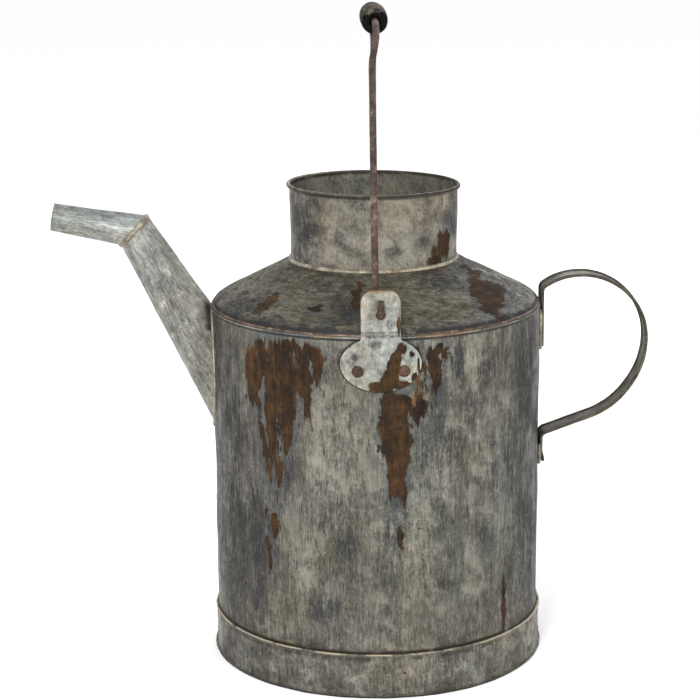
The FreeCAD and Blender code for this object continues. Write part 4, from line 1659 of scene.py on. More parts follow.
# ---- strap handle
@dataclass
class StrapHandle:
    """D-shaped strap with rolled edges, soldered to the wall by a tab at each end."""

    can: Can
    finishes: "Finishes"
    width: float = 20.0 * MM
    web: float = 0.55 * MM
    bead: float = 1.2 * MM
    crown: float = 46.0 * MM
    belly: float = 60.0 * MM
    belly_turn: float = 70.0
    tab_bend: float = 5.0 * MM
    centre_drop: float = 28.0 * MM

    def path(self) -> list[Vector]:
        """Centre line from the foot of the upper tab round to the foot of the lower tab.

        Returns:
            Its points.
        """
        low, high = node_box("handle_strap")
        tab = max(low.x + self.bead, self.can.radius + 1.8 * MM)
        far = high.x - self.bead
        middle = self.can.wall_top - self.centre_drop
        upper_foot = self.can.wall_top - 32.5 * MM
        lower_foot = low.z
        crown = (far - self.crown, middle)
        belly = (far - self.belly, middle)
        turn = math.degrees(math.acos((crown[0] - tab - self.tab_bend) / (self.crown - self.tab_bend)))
        upper = (tab + self.tab_bend,
                 middle + (self.crown - self.tab_bend) * math.sin(math.radians(turn)))
        line = [(tab, height) for height in spread(upper_foot, upper[1], 16)][:-1]
        line += arc_points(upper, self.tab_bend, 180.0, 180.0 - turn, 7)
        line += arc_points(crown, self.crown, 180.0 - turn, 0.0, 50)[1:]
        line += arc_points(belly, self.belly, 0.0, -self.belly_turn, 40)[1:]
        lean = math.radians(self.belly_turn)
        heading = (-math.sin(lean), -math.cos(lean))
        normal = (math.cos(lean), -math.sin(lean))
        end = line[-1]
        steps = (end[0] + normal[0] * self.tab_bend - tab - self.tab_bend) / -heading[0]
        centre = (tab + self.tab_bend, end[1] + normal[1] * self.tab_bend + heading[1] * steps)
        for share in spread(0.0, 1.0, 16)[1:-1]:
            line.append((end[0] + heading[0] * steps * share, end[1] + heading[1] * steps * share))
        line += arc_points(centre, self.tab_bend, 180.0 - self.belly_turn, 180.0, 7)
        line += [(tab, height) for height in spread(centre[1], lower_foot, 10)][1:]
        return [self.knocked(Vector((x, 0, z)), lower_foot) for x, z in line]

    def knocked(self, place: Vector, foot: float) -> Vector:
        """A little out of true, with the lower end sprung off the wall.

        Args:
            place: the point.
            foot: height of its lower end.

        Returns:
            The moved point.
        """
        away = step_up(place.x, self.can.radius + 4 * MM, self.can.radius + 20 * MM)
        wander = 0.7 * MM * away * roughly(place, 0.05, 2)
        spring = 1.4 * MM * (1 - step_up(place.z, foot, foot + 9 * MM))
        sway = 1.1 * MM * away * roughly(place + Vector((1, 2, 3)), 0.08, 1)
        return place + Vector((wander + spring, sway, 0))

    def outline(self) -> list[Spot]:
        """Strap section: two round edges joined by a thin web, as (across, lift).

        Returns:
            The outline.
        """
        half = self.width / 2 - self.bead
        right = arc_points((half, 0.0), self.bead, -165.0, 165.0, 14)
        left = arc_points((-half, 0.0), self.bead, 15.0, 345.0, 14)
        inset = half - 2.0 * MM
        upper = [(across, self.web / 2 - 0.1 * MM) for across in spread(inset, -inset, 6)]
        lower = [(-across, -self.web / 2 - 0.1 * MM) for across, _ in upper]
        return right + upper + left + lower

    def build_strap(self) -> None:
        """Strap swept along its path."""
        path = self.path()
        section = self.outline()

        def edge(number: int, share: float) -> Spot:
            """Strap outline, slightly uneven.

            Args:
                number: the path point's number.
                share: share of the way, 0 to 1.

            Returns:
                (Offset across, offset up) of the outline.
            """
            across, lift = section[round(share * len(section)) % len(section)]
            place = path[number] + Vector((0, across, 0))
            wider = 1 + 0.02 * roughly(place, 0.02, 2)
            return across * wider, lift + 0.10 * MM * roughly(place, 0.006, 2)
        piece = swept_piece("handle_strap_rolled", path, edge, len(section), Vector((0, 1, 0)))
        face_outward(piece)
        dress(piece, self.finishes.of("strap_zinc"), "can",
              ["handle_strap", "handle_edge_wires"])

    def tab_solder(self, name: str, node: str, sides_up: float) -> None:
        """Solder run round three sides of a tab.

        Args:
            name: the piece's name.
            node: the frame node it stands for.
            sides_up: how far the run goes up beside the tab.
        """
        low, high = node_box(node)
        half = self.width / 2 + 0.6 * MM
        down = [(-half, height) for height in spread(low.z + sides_up, low.z + 1.5 * MM, 16)]
        across = [(side, low.z - 0.6 * MM) for side in spread(-half + 1.5 * MM, half - 1.5 * MM, 16)]
        up = [(half, height) for height in spread(low.z + 1.5 * MM, low.z + sides_up, 16)]
        path = []
        for side, height in down + across + up:
            reach = math.sqrt(self.can.radius ** 2 - side ** 2)
            path.append(Vector((reach + 0.7 * MM, side, height)))

        def lump(number: int, share: float) -> Spot:
            """Lumpy outline of the run, thin at its ends.

            Args:
                number: the path point's number.
                share: share of the way, 0 to 1.

            Returns:
                (Offset across, offset up) of the outline.
            """
            ends = min(1.0, (number + 1) / 4, (len(path) - number) / 4)
            size = 1.25 * MM * ends * (1 + 0.4 * roughly(path[number], 0.007, 3))
            angle = FULL_TURN * share
            return 1.15 * size * math.cos(angle), 1.5 * size * math.sin(angle)
        piece = swept_piece(name, path, lump, 12, Vector((1, 0, 0)))
        face_outward(piece)
        dress(piece, self.finishes.of("solder"), "can", [node])

    def build(self) -> None:
        """Build and dress the handle."""
        self.build_strap()
        self.tab_solder("handle_upper_solder_run", "handle_upper_solder", 27 * MM)
        self.tab_solder("handle_lower_solder_run", "handle_lower_solder", 13 * MM)


# ---- ears
@dataclass
class Ears:
    """The two riveted ears that carry the bail."""

    can: Can
    finishes: "Finishes"
    gauge: float = 1.4 * MM
    half_width: float = 26.7 * MM
    half_height: float = 18.4 * MM
    centre_drop: float = 18.3 * MM
    tab_width: float = 26.0 * MM
    tab_rise: float = 31.5 * MM
    tab_corner: float = 9.0 * MM
    joggle_drop: float = 5.5 * MM
    joggle: float = 3.0 * MM
    tab_off: float = 0.8 * MM
    pivot_rise: float = 15.0 * MM
    hole: float = 3.3 * MM
    rivet_drop: float = 22.9 * MM
    rivet_spacing: float = 30.3 * MM
    step: float = 0.75 * MM

    def outside(self, across: float, height: float) -> float:
        """Distance outside the ear's outline; negative on the plate.

        Args:
            across: distance off the middle line.
            height: its height.

        Returns:
            The distance.
        """
        drop = height - (self.can.wall_top - self.centre_drop)
        oval = math.hypot(across / self.half_width, drop / self.half_height)
        oval_far = (oval - 1.0) * min(self.half_width, self.half_height)
        top = self.can.wall_top + self.tab_rise
        foot = self.can.wall_top - self.centre_drop
        middle = (top + foot) / 2
        out_x = abs(across) - self.tab_width / 2 + self.tab_corner
        out_z = abs(height - middle) - (top - foot) / 2 + self.tab_corner
        tab_far = math.hypot(max(out_x, 0), max(out_z, 0)) + min(max(out_x, out_z), 0) - self.tab_corner
        hole_far = self.hole - math.hypot(across, height - self.can.wall_top - self.pivot_rise)
        blend = 1.6 * MM
        share = min(1.0, max(0.0, 0.5 + 0.5 * (tab_far - oval_far) / blend))
        union = tab_far + (oval_far - tab_far) * share - blend * share * (1 - share)
        return max(union, hole_far)

    def placed(self, across: float, height: float) -> Vector:
        """Point of the ear's outer face, bent to the wall and joggled over the lip.

        Args:
            across: distance off the middle line.
            height: its height.

        Returns:
            The point.
        """
        rise = step_up(height, self.can.wall_top - self.joggle_drop,
                       self.can.wall_top - self.joggle_drop + self.joggle)
        reach = self.can.radius + self.gauge + self.tab_off * rise
        crease = -0.35 * MM * bell(height, self.can.wall_top + 3.5 * MM, 1.6 * MM)
        flat = Vector((across, 0, height))
        reach += crease + 0.22 * MM * roughly(flat, 0.014, 2)
        return Vector((across, -math.sqrt(reach ** 2 - across ** 2), height))

    def snapped(self, across: float, height: float) -> Spot:
        """Slide a point onto the outline.

        Args:
            across: distance off the middle line.
            height: its height.

        Returns:
            The moved (across, height).
        """
        tiny = 0.05 * MM
        for _ in range(4):
            far = self.outside(across, height)
            rise_x = self.outside(across + tiny, height) - self.outside(across - tiny, height)
            rise_z = self.outside(across, height + tiny) - self.outside(across, height - tiny)
            slope_x = rise_x / (2 * tiny)
            slope_z = rise_z / (2 * tiny)
            size = max(slope_x ** 2 + slope_z ** 2, 0.05)
            across -= far * slope_x / size
            height -= far * slope_z / size
        return across, height

    def build_ear(self, name: str, node: str, turn: float, material: Material) -> None:
        """One ear from a fine grid trimmed to its outline.

        Args:
            name: the piece's name.
            node: the frame node it stands for.
            turn: how far round the can it stands from the front.
            material: its finish.
        """
        columns = round(2.1 * self.half_width / self.step)
        low = self.can.wall_top - self.centre_drop - self.half_height - 2 * self.step
        rows = round((self.can.wall_top + self.tab_rise - low) / self.step) + 3
        spots = [((column - columns / 2) * self.step, low + row * self.step)
                 for row in range(rows) for column in range(columns + 1)]
        far = [self.outside(*spot) for spot in spots]
        kept = [face for face in grid_faces(rows, columns + 1, False, False)
                if sum(far[number] for number in face) / 4 < 0]
        uses: dict[tuple[int, int], int] = {}
        for face in kept:
            for first, second in zip(face, face[1:] + face[:1]):
                pair = (min(first, second), max(first, second))
                uses[pair] = uses.get(pair, 0) + 1
        rim = {number for pair, count in uses.items() if count == 1 for number in pair}
        used = sorted({number for face in kept for number in face})
        renumbered = {old: new for new, old in enumerate(used)}
        rotation = Matrix.Rotation(turn, 3, "Z")
        ends = [self.snapped(*spots[number]) if number in rim else spots[number] for number in used]
        points = [rotation @ self.placed(*end) for end in ends]
        piece = make_piece(name, points, [[renumbered[number] for number in face] for face in kept])
        thicken(piece, self.gauge)
        soften = piece.modifiers.new("filed edge", "BEVEL")
        soften.width = 0.32 * MM
        soften.segments = 2
        soften.limit_method = "ANGLE"
        soften.angle_limit = math.radians(50)
        dress(piece, material, "can", [node])

    def build_rivets(self) -> None:
        """Domed rivets, two on each ear, with their hammered tails inside."""
        half = math.asin(self.rivet_spacing / 2 / self.can.radius)
        angles = [side * half + ear for ear in (-math.pi / 2, math.pi / 2) for side in (-1, 1)]
        shapes = []
        for number, angle in enumerate(angles):
            outward = Vector((math.cos(angle), math.sin(angle), 0))
            seat = outward * (self.can.radius + self.gauge - 0.05 * MM)
            seat += Vector((0, 0, self.can.wall_top - self.rivet_drop))
            shapes.append(rivet_shape(seat, outward, 4.0 * MM, 2.1 * MM, 3.0 * MM, number + 40))
            tail = outward * (self.can.radius - self.can.gauge)
            tail += Vector((0, 0, seat.z))
            shapes.append(rivet_shape(tail, -outward, 3.0 * MM, 1.1 * MM, 0.6 * MM, number + 60))
        piece = joined_piece("ear_rivet_heads", shapes)
        dress(piece, self.finishes.of("rivet_rust"), "can", ["ear_rivets"])

    def build(self) -> None:
        """Build and dress both ears and their rivets."""
        self.build_ear("front_ear_plate", "front_ear", 0.0, self.finishes.of("ear_zinc_front"))
        self.build_ear("rear_ear_plate", "rear_ear", math.pi, self.finishes.of("ear_zinc_rear"))
        self.build_rivets()


# ---- bail
@dataclass
class Bail:
    """Wire bail with turned-up ends, and its turned grip."""

    can: Can
    finishes: "Finishes"
    wire: float = 2.25 * MM
    pivot_rise: float = 15.0 * MM
    reach: float = 182.0 * MM
    hook_rise: float = 10.0 * MM
    grip_length: float = 66.0 * MM
    grip_radius: float = 9.4 * MM
    grip_end: float = 8.7 * MM
    grip_round: float = 2.6 * MM
    grip_bore: float = 2.85 * MM
    grip_gap: float = 2.0 * MM
    groove_inset: float = 9.0 * MM
    front_lean: float = -3.9 * MM  # front leg bent toward the spout
    rear_lean: float = 2.4 * MM  # rear leg bent toward the handle

    def path(self) -> list[Vector]:
        """Wire's centre line, front end to rear end.

        Returns:
            Its points.
        """
        ear_outer = self.can.radius + 0.8 * MM + 1.4 * MM
        hook = ear_outer + 0.5 * MM + self.wire
        leg = self.can.radius + 0.8 * MM - 2.3 * MM - self.wire
        pivot = self.can.wall_top + self.pivot_rise
        top = pivot + self.reach
        bend = 0.46 * (hook - leg)
        straight = self.grip_length / 2 + self.grip_gap
        crown = leg - straight
        front = [(-hook, height) for height in spread(pivot + self.hook_rise, pivot + bend, 5)][:-1]
        front += arc_points((-hook + bend, pivot + bend), bend, 180.0, 270.0, 9)
        front += arc_points((-leg - bend, pivot + bend), bend, 270.0, 360.0, 9)
        front += [(-leg, height) for height in spread(pivot + bend, top - crown, 46)][1:-1]
        front += arc_points((-leg + crown, top - crown), crown, 180.0, 90.0, 44)
        front += [(across, top) for across in spread(-straight, 0.0, 10)][1:]
        back = [(-across, height) for across, height in reversed(front[:-1])]
        return [self.kinked(Vector((0, across, height)), pivot, top) for across, height in front + back]

    def kinked(self, place: Vector, pivot: float, top: float) -> Vector:
        """Slight kinks of a much-used wire, none at the pivots or in the grip.

        Args:
            place: the point.
            pivot: height of the pivots.
            top: height of the grip.

        Returns:
            The moved point.
        """
        share = step_up(place.z, pivot + 3 * MM, pivot + 14 * MM)
        share *= 0.82 + 0.18 * step_up(place.z, pivot + 20 * MM, pivot + 90 * MM)
        share *= 1 - step_up(place.z, top - 26 * MM, top - 3 * MM)
        share *= 1 - step_up(abs(place.y), self.can.radius - 3 * MM, self.can.radius + 2 * MM)
        lean = self.front_lean if place.y < 0 else self.rear_lean
        wander = 0.35 * MM * share * roughly(place, 0.05, 2)
        return place + Vector((share * lean + wander, wander, 0))

    def build_wire(self) -> None:
        """Bail wire, lightly pitted, its cut ends slightly domed."""
        path = self.path()
        count = len(path)

        def round_wire(number: int, share: float) -> Spot:
            """Round outline, pitted and smaller at the ends.

            Args:
                number: the path point's number.
                share: share of the way, 0 to 1.

            Returns:
                (Offset across, offset up) of the outline.
            """
            angle = FULL_TURN * share
            place = path[number] + Vector((math.cos(angle), 0, math.sin(angle))) * self.wire
            end = 0.80 if number in (0, count - 1) else 1.0
            size = self.wire * end * (1 + 0.035 * roughly(place, 0.005, 3))
            return size * math.cos(angle), size * math.sin(angle)
        piece = swept_piece("bail_wire_bent", path, round_wire, 20, Vector((1, 0, 0)))
        face_outward(piece)
        dress(piece, self.finishes.of("bail_rust"), "bail", ["bail_wire"])

    def grip_section(self) -> list[Spot]:
        """Half outline of the grip as (radius, distance along it), bore included.

        Returns:
            The outline.
        """
        half = self.grip_length / 2
        rounded = half - self.grip_round
        face = self.grip_end - self.grip_round

        def swell(distance: float) -> float:
            """Radius of the barrel shape with its grooves.

            Args:
                distance: distance along the axis.

            Returns:
                The radius.
            """
            body = self.grip_end + (self.grip_radius - self.grip_end) * (1 - (distance / rounded) ** 2)
            groove = 0.0
            for inset in (self.groove_inset, self.groove_inset + 4.2 * MM):
                groove += 0.65 * MM * bell(abs(distance), half - inset, 0.55 * MM)
            return body - groove
        near = [(self.grip_bore, -half + 1.2 * MM), (self.grip_bore + 0.7 * MM, -half + 0.1 * MM)]
        near += [(face - 0.8 * MM, -half)]
        near += [(face + self.grip_round * math.sin(turn), -rounded - self.grip_round * math.cos(turn))
                 for turn in spread(0.0, math.pi / 2, 8)]
        turned = rounded - 0.4 * MM
        skin = [(swell(distance), distance) for distance in spread(-turned, turned, 110)]
        far = [(radius, -distance) for radius, distance in reversed(near)]
        return near + skin + far + [(self.grip_bore, 0.0)]

    def build_grip(self) -> None:
        """Turned grip, slightly rubbed out of round."""
        centre = Vector((0, 0, self.can.wall_top + self.pivot_rise + self.reach))
        section = self.grip_section()

        def rubbed(angle: float, distance: float) -> float:
            """Share by which the wood is worn out of round."""
            place = Vector((math.cos(angle) * 0.009, distance, math.sin(angle) * 0.009))
            return 1.0 + 0.018 * roughly(place, 0.014, 3)
        points, _ = shape_about(centre, Vector((0, 1, 0)), section, 56, rubbed)
        piece = make_piece("bail_grip_turned", points, grid_faces(len(section), 56, True, True))
        face_outward(piece)
        dress(piece, self.finishes.of("grip_wood"), "grip", ["bail_grip"])

    def build(self) -> None:
        """Build and dress the wire and the grip."""
        self.build_wire()
        self.build_grip()


# ---- studio
@dataclass
class Studio:
    """Pale floor, soft lights and the camera."""

    turn: float = math.radians(-1.97)  # camera's place round the can, from the front
    distance: float = 1.4423
    height: float = 0.5566
    side: float = 0.00773  # camera's offset to its right
    pitch: float = 0.2327  # downward
    yaw: float = -0.018
    roll: float = -0.010
    lens_ratio: float = 2.99329  # focal length over image width
    sensor: float = 36.0

    def build_camera(self) -> None:
        """Camera looking slightly down at the can."""
        data = bpy.data.cameras.new("camera")
        data.sensor_width = self.sensor
        data.lens = self.sensor * self.lens_ratio
        data.clip_end = 20.0
        camera = bpy.data.objects.new("camera", data)
        bpy.context.scene.collection.objects.link(camera)
        round_can = Matrix.Rotation(self.turn, 3, "Z")
        level = math.cos(self.pitch)
        ahead = Vector((math.sin(self.yaw) * level, math.cos(self.yaw) * level, -math.sin(self.pitch)))
        right = Vector((math.cos(self.yaw), -math.sin(self.yaw), 0))
        upward = right.cross(ahead)
        tilted_right = right * math.cos(self.roll) + upward * math.sin(self.roll)
        tilted_up = upward * math.cos(self.roll) - right * math.sin(self.roll)
        axes = [round_can @ axis for axis in (tilted_right, tilted_up, -ahead)]
        matrix = Matrix([[axes[column][row] for column in range(3)] for row in range(3)]).to_4x4()
        matrix.translation = round_can @ Vector((self.side, -self.distance, self.height))
        camera.matrix_world = matrix
        bpy.context.scene.camera = camera

    def soft_light(self, name: str, place: tuple[float, float, float], size: float, power: float,
                   target: Vector, tint: Colour = (1.0, 1.0, 1.0)) -> None:
        """Square soft light aimed at a point.

        Args:
            name: the light's name.
            place: where it stands.
            size: width in metres.
            power: watts.
            target: what it points at.
            tint: its colour.
        """
        data = bpy.data.lights.new(name, "AREA")
        data.size = size
        data.energy = power
        data.color = tint
        lamp = bpy.data.objects.new(name, data)
        bpy.context.scene.collection.objects.link(lamp)
        lamp.location = place
        lamp.rotation_mode = "QUATERNION"
        lamp.rotation_quaternion = (target - lamp.location).to_track_quat("-Z", "Y")

    def build_floor(self) -> None:
        """Plain pale floor."""
        reach = 16.0
        floor = make_piece("floor", [Vector((x, y, 0)) for x, y in ((-reach, -reach), (reach, -reach),
                                                                     (reach, reach), (-reach, reach))],
                           [[0, 1, 2, 3]])
        graph = Graph("pale floor")
        floor.data.materials.append(graph.finish((0.98, 0.98, 0.98, 1.0), 0.9, 0.0))

    def build(self) -> None:
        """Set up the floor, the light and the camera."""
        self.build_floor()
        bpy.context.scene.view_settings.view_transform = "Standard"
        world = bpy.data.worlds.new("studio")
        world.use_nodes = True
        background = world.node_tree.nodes["Background"]
        background.inputs["Color"].default_value = (1.0, 1.0, 1.0, 1.0)
        background.inputs["Strength"].default_value = 1.0
        bpy.context.scene.world = world
        target = Vector((0, 0, 0.2))
        self.soft_light("key", (-0.7, -1.9, 1.25), 0.7, 36.0, target)
        self.soft_light("fill", (1.3, -1.5, 0.7), 0.7, 12.0, target)
        self.soft_light("back", (0.5, 1.9, 1.2), 1.0, 12.0, target)
        self.build_camera()


# ---- finishes for this can
WALL_RUST = stains(
    (-47.6, 0.216, 2.8, 0.021), (-42.6, 0.222, 3.6, 0.030), (-40.4, 0.194, 4.8, 0.043),
    (-36.0, 0.236, 5.0, 0.012), (-32.0, 0.213, 3.8, 0.034), (-29.0, 0.239, 8.0, 0.008),
    (-25.7, 0.223, 2.4, 0.017), (-21.0, 0.232, 2.0, 0.011), (-42.0, 0.1215, 0.9, 0.0050),
    (-38.6, 0.1166, 1.7, 0.0075), (-42.2, 0.1000, 1.2, 0.0070), (-40.8, 0.0885, 1.4, 0.0070),
    (3.0, 0.191, 2.8, 0.020), (6.0, 0.203, 4.2, 0.009), (8.0, 0.178, 2.2, 0.026),
    (4.2, 0.155, 1.8, 0.014), (7.4, 0.147, 1.3, 0.011), (6.0, 0.116, 0.9, 0.006),
    (12.9, 0.226, 2.4, 0.018), (18.4, 0.239, 3.4, 0.006), (19.2, 0.221, 2.6, 0.017),
    (21.8, 0.233, 1.8, 0.009), (12.4, 0.203, 2.6, 0.011), (47.5, 0.051, 1.3, 0.022),
    (128, 0.215, 9.0, 0.034), (134, 0.165, 4.0, 0.045), (-128, 0.095, 6.0, 0.045),
    (-140, 0.228, 14.0, 0.014), (172, 0.120, 4.0, 0.045), (-165, 0.190, 4.0, 0.040),
)
# Soot streaks; the broad ovals at -71 and 75 degrees are painted shade on the sides turned from the lights,
# and the one at 0 degrees and 0.232 m is painted shade round the front ear.
WALL_SHADE = stains(
    (-40.0, 0.126, 6.0, 0.052), (-33.0, 0.160, 3.0, 0.040), (-46.0, 0.060, 5.0, 0.022),
    (6.0, 0.138, 4.4, 0.058), (3.0, 0.110, 2.4, 0.030), (-34.0, 0.215, 12.0, 0.030),
    (19.0, 0.195, 5.0, 0.026), (-55.1, 0.174, 1.6, 0.014), (0.0, 0.232, 15.6, 0.0212),
    (31.7, 0.200, 4.2, 0.022), (42.5, 0.150, 2.2, 0.034), (51.0, 0.153, 5.0, 0.048),
    (27.0, 0.226, 3.0, 0.024), (60.0, 0.200, 6.0, 0.050), (-60.0, 0.120, 5.0, 0.060),
    (37.0, 0.215, 3.2, 0.026), (-12.0, 0.105, 5.0, 0.016), (-20.0, 0.062, 8.0, 0.014),
    (-71.0, 0.145, 28.0, 0.170), (75.0, 0.145, 28.0, 0.170), (-48.0, 0.110, 7.0, 0.050),
    (150, 0.160, 14.0, 0.070), (-120, 0.180, 12.0, 0.070), (100, 0.190, 6.0, 0.060),
)
WALL_PALE = stains(
    (-17.0, 0.170, 11.0, 0.070), (21.0, 0.160, 8.0, 0.045), (-52.0, 0.205, 5.0, 0.035),
    (33.0, 0.228, 6.0, 0.022), (14.0, 0.120, 6.0, 0.050), (-28.0, 0.090, 9.0, 0.030),
    (-150, 0.130, 12.0, 0.060), (160, 0.200, 12.0, 0.040),
)
WALL_ORANGE = stains(
    (12.0, 0.2240, 1.4, 0.0180), (15.6, 0.2090, 2.0, 0.0050), (10.6, 0.2080, 1.4, 0.0060),
    (21.0, 0.2500, 12.0, 0.0016), (-20.0, 0.2500, 5.0, 0.0010),
)
# Painted shade: a dark ring on the wall round the edge of each ear.
EAR_EDGE_SHADE = (Stain(0.0, 0.2322, 13.7, 0.0191), Stain(180.0, 0.2322, 13.7, 0.0191))
SHOULDER_RUST = stains(
    (66, 0.2750, 13.0, 0.0070), (60, 0.2692, 10.0, 0.0075), (54, 0.2628, 8.0, 0.0075),
    (46.5, 0.2570, 5.5, 0.0058), (-50.8, 0.2628, 3.4, 0.0046), (-26, 0.2634, 3.2, 0.0026),
    (-10.0, 0.2703, 2.0, 0.0070), (140, 0.2657, 14.0, 0.0081), (-150, 0.2587, 12.0, 0.0070),
)
SHOULDER_SHADE = stains(
    (-10, 0.2622, 9.0, 0.0116), (-66, 0.2587, 18.0, 0.0139), (30, 0.2530, 46.0, 0.0046),
    (72, 0.2657, 10.0, 0.0139), (-32, 0.2530, 30.0, 0.0046), (-28, 0.2750, 14.0, 0.0058),
    (32, 0.2750, 12.0, 0.0058), (170, 0.2634, 26.0, 0.0139), (-17.5, 0.2564, 8.0, 0.0058),
)
NECK_RUST = stains(
    (53, 0.2925, 10.0, 0.0065), (57, 0.3000, 9.0, 0.0050), (46, 0.2870, 7.0, 0.0035),
)
# Soot streaks; the broad oval at -60 degrees is painted shade on the neck's left side.
NECK_SHADE = stains(
    (-44, 0.296, 8.0, 0.008), (-25, 0.304, 9.0, 0.007), (33, 0.300, 8.0, 0.006),
    (64, 0.310, 16.0, 0.018), (12, 0.296, 8.0, 0.005), (-60, 0.306, 24.0, 0.034),
    (130, 0.305, 16.0, 0.016),
)
EAR_RUST = stains(
    (0.4, 0.2175, 3.0, 0.0030), (2.8, 0.2215, 2.2, 0.0046), (4.0, 0.2290, 1.3, 0.0050),
    (5.2, 0.2365, 1.3, 0.0050), (7.0, 0.2425, 1.6, 0.0038), (7.6, 0.2185, 3.6, 0.0026),
    (11.2, 0.2225, 1.4, 0.0046), (6.0, 0.2590, 0.5, 0.0060), (12.6, 0.2310, 0.7, 0.0080),
    (0.0, 0.2822, 5.0, 0.0010), (9.8, 0.2385, 0.9, 0.0030),
)
EAR_ORANGE = stains(
    (0.0, 0.2813, 6.2, 0.0018), (6.2, 0.2660, 0.7, 0.0150), (-6.2, 0.2640, 0.5, 0.0130),
    (9.0, 0.2290, 1.6, 0.0060),
)
EAR_SHADE = stains(
    (0.0, 0.2515, 9.0, 0.0018), (-9.5, 0.236, 2.6, 0.006), (3.0, 0.259, 2.2, 0.004),
    (-2.0, 0.246, 3.0, 0.004),
)


@dataclass
class Finishes:
    """Every finish on the can."""

    can: Can
    made: dict[str, Material] = field(default_factory=dict)

    def wall_finish(self) -> Zinc:
        """Wall: upright streaks, two big rust runs, painted shade under the lip and toward the sides, a
        painted highlight on the lip's edge, dirt above the hem.

        Returns:
            The finish.
        """
        top = self.can.wall_top
        lines = (
            Line(self.can.band_top + 0.4 * MM, 2.4 * MM, DIRT, 1.0, 0.38),
            Line(self.can.band_top, 11 * MM, DIRT, 0.60, 0.53),
            # Painted shade under the proud lip, a painted highlight along the lip's edge, and painted shade
            # in the groove at the wall's top.
            Line(top - 2.2 * MM, 1.4 * MM, PAINTED_SHADE, 0.95, 0.36),
            Line(top - 0.9 * MM, 0.5 * MM, LIP_EDGE_HIGHLIGHT, 0.50, 0.50),
            Line(top, 0.5 * MM, PAINTED_SHADE, 0.70, 0.42),
        )
        # The hammered value paints highlights along the hammer marks; the side value paints shade toward
        # the spout and handle sides.
        return Zinc("wall_zinc", seat_shade=EAR_EDGE_SHADE, rust=WALL_RUST, shade=WALL_SHADE, pale=WALL_PALE,
                    orange=WALL_ORANGE, hammered=0.26, side_shade=0.66, rust_top=top - 6.0 * MM,
                    lines=lines)

    def band_finish(self) -> Zinc:
        """Foot band: blotchy, bright along the hem and rusty under the bead.

        Returns:
            The finish.
        """
        top = self.can.band_top
        lines = (
            Line(0.2 * MM, 3.2 * MM, DIRT, 1.0, 0.28),
            Line(5 * MM, 6 * MM, DIRT, 0.40, 0.54),
            Line(top - 3.4 * MM, 2.4 * MM, DIRT, 0.70, 0.50),
            Line(top - 0.35 * MM, 0.55 * MM, BRASSY, 0.80, 0.44),
        )
        return Zinc("band_zinc", light=(0.235, 0.227, 0.193), bloom_share=0.45, rust_spots=0.70,
                    streaky=0.75, cloudy=1.35, lines=lines)

    def shoulder_finish(self) -> Zinc:
        """Shoulder: darker, smeared round the can.

        Returns:
            The finish.
        """
        lines = (
            Line(self.can.neck_base - 1.5 * MM, 3 * MM, DIRT, 0.55, 0.50),
            # Painted shade in the crease where the shoulder bends down to the wall.
            Line(self.can.wall_top + 1.5 * MM, 4 * MM, PAINTED_SHADE, 0.95, 0.40),
        )
        return Zinc("shoulder_zinc", grain=Grain.ROUND, rust=SHOULDER_RUST, shade=SHOULDER_SHADE,
                    dark=(0.017, 0.015, 0.011), middle=(0.056, 0.050, 0.036), light=(0.127, 0.117, 0.086),
                    cloudy=1.25, metallic=0.15, roughness=(0.48, 0.75), bloom_share=0.25, jagged=0.006,
                    drift=0.20, lines=lines)

    def neck_finish(self) -> Zinc:
        """Neck: pale and cloudy, with rust low on one side and along the rim.

        Returns:
            The finish.
        """
        top = self.can.neck_top
        lines = (
            Line(top - 1.4 * MM, 2.2 * MM, DIRT, 0.95, 0.36),
            Line(top, 0.8 * MM, BRASSY, 0.20, 0.56),
            Line(self.can.neck_base + 2 * MM, 3 * MM, DIRT, 0.55, 0.53),
        )
        return Zinc("neck_zinc", rust=NECK_RUST, shade=NECK_SHADE, middle=(0.128, 0.117, 0.095),
                    light=(0.259, 0.243, 0.201), bloom_share=0.35, streaky=0.35, cloudy=1.6,
                    jagged=0.010, drift=0.25, lines=lines)

    def ear_finish(self, name: str, rust: tuple[Stain, ...], shade: tuple[Stain, ...],
                   orange: tuple[Stain, ...]) -> Zinc:
        """Ear: heavier, paler zinc with painted shade in the joggle's crease and dirt along its top edge.

        Args:
            name: the finish's name.
            rust: rusty places.
            shade: sooty places.
            orange: orange places.

        Returns:
            The finish.
        """
        lines = (
            Line(self.can.wall_top + 31.5 * MM, 1.4 * MM, DIRT, 0.9, 0.42),
            # Painted shade in the crease of the joggle.
            Line(self.can.wall_top + 3.2 * MM, 1.2 * MM, PAINTED_SHADE, 0.65, 0.47),
        )
        return Zinc(name, rust=rust, shade=shade, orange=orange, dark=(0.094, 0.088, 0.075),
                    middle=(0.230, 0.223, 0.193), light=(0.423, 0.412, 0.359),
                    bloom=(0.489, 0.470, 0.414), rust_spots=0.655, streaky=0.30, cloudy=2.0,
                    bloom_share=0.6, jagged=0.005, drift=0.05, lines=lines)

    def spout_finish(self, name: str, grain: Grain) -> Zinc:
        """Spout sheet: newer and paler than the can.

        Args:
            name: the finish's name.
            grain: way its streaks run.

        Returns:
            The finish.
        """
        # Painted shade where the tube's upper side meets the wall.
        joint_shade = (Stain(-85.0, 0.2430, 4.0, 0.0130),)
        return Zinc(name, grain=grain, seat_shade=joint_shade, dark=(0.066, 0.067, 0.062),
                    middle=(0.180, 0.181, 0.165), light=(0.338, 0.338, 0.310),
                    bloom=(0.489, 0.479, 0.423), bloom_share=0.5, rust_spots=0.76,
                    roughness=(0.36, 0.60), streaky=1.0, cloudy=1.5)

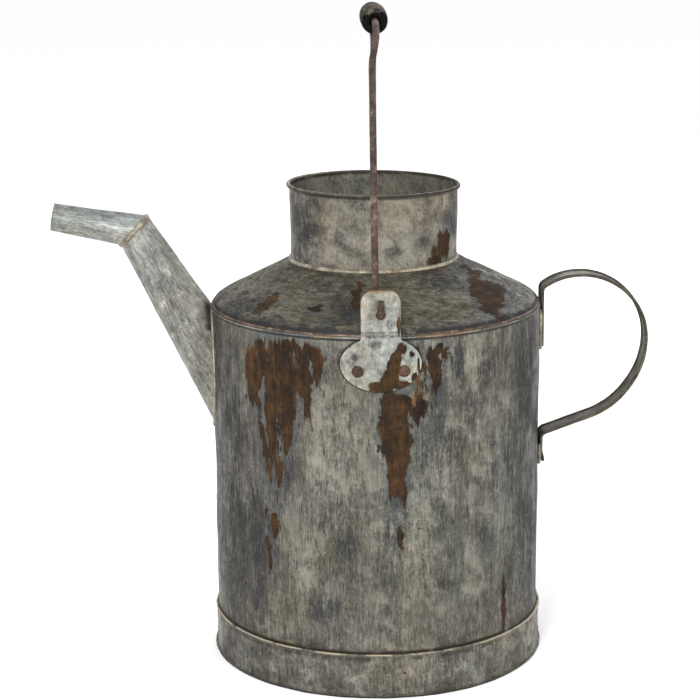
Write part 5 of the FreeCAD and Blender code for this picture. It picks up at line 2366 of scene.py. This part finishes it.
    def recipes(self) -> list[Zinc | Solder | RustyIron | BlackenedWood]:
        """The finishes, one by one.

        Returns:
            The finishes.
        """
        return [
            self.wall_finish(),
            self.band_finish(),
            Zinc("base_zinc", grain=Grain.ROUND, rust_spots=0.62),
            self.shoulder_finish(),
            self.neck_finish(),
            self.spout_finish("spout_zinc", Grain.SPOUT),
            self.spout_finish("nozzle_zinc", Grain.NOZZLE),
            self.ear_finish("ear_zinc_front", EAR_RUST, EAR_SHADE, EAR_ORANGE),
            self.ear_finish("ear_zinc_rear", (), (), ()),
            Zinc("strap_zinc", grain=Grain.STRAP, dark=(0.015, 0.013, 0.009), middle=(0.046, 0.040, 0.027),
                 light=(0.117, 0.105, 0.073), bloom_share=0.25, rust_spots=0.72, roughness=(0.40, 0.60)),
            Solder("solder"),
            Solder("dull_solder", light=(0.240, 0.150, 0.100), middle=(0.075, 0.050, 0.036),
                   dark=(0.014, 0.012, 0.011)),
            RustyIron("bail_rust"),
            RustyIron("rivet_rust", dark=(0.016, 0.008, 0.006), middle=(0.048, 0.022, 0.014),
                      light=(0.110, 0.052, 0.032), rubbed_level=0.68),
            RustyIron("foot_rivet_iron", dark=(0.022, 0.019, 0.016), middle=(0.060, 0.054, 0.044),
                      light=(0.125, 0.115, 0.095), rubbed_level=0.62),
            BlackenedWood("grip_wood", top=node_box("bail_grip")[1].z),
        ]

    def build(self) -> None:
        """Make every material once."""
        for recipe in self.recipes():
            self.made[recipe.name] = recipe.build()

    def of(self, name: str) -> Material:
        """A finish by its name."""
        return self.made[name]


def main() -> None:
    """Build the can's looks round the frame."""
    logging.basicConfig(level=logging.INFO, format="%(name)s %(message)s")
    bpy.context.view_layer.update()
    can = Can.measured()
    finishes = Finishes(can)
    finishes.build()
    spout = Spout(can, finishes)
    spout.build()
    Body(can, finishes, spout).build()
    ShoulderAndNeck(can, finishes).build()
    StrapHandle(can, finishes).build()
    Ears(can, finishes).build()
    Bail(can, finishes).build()
    Studio().build()


if __name__ == "__main__":
    main()
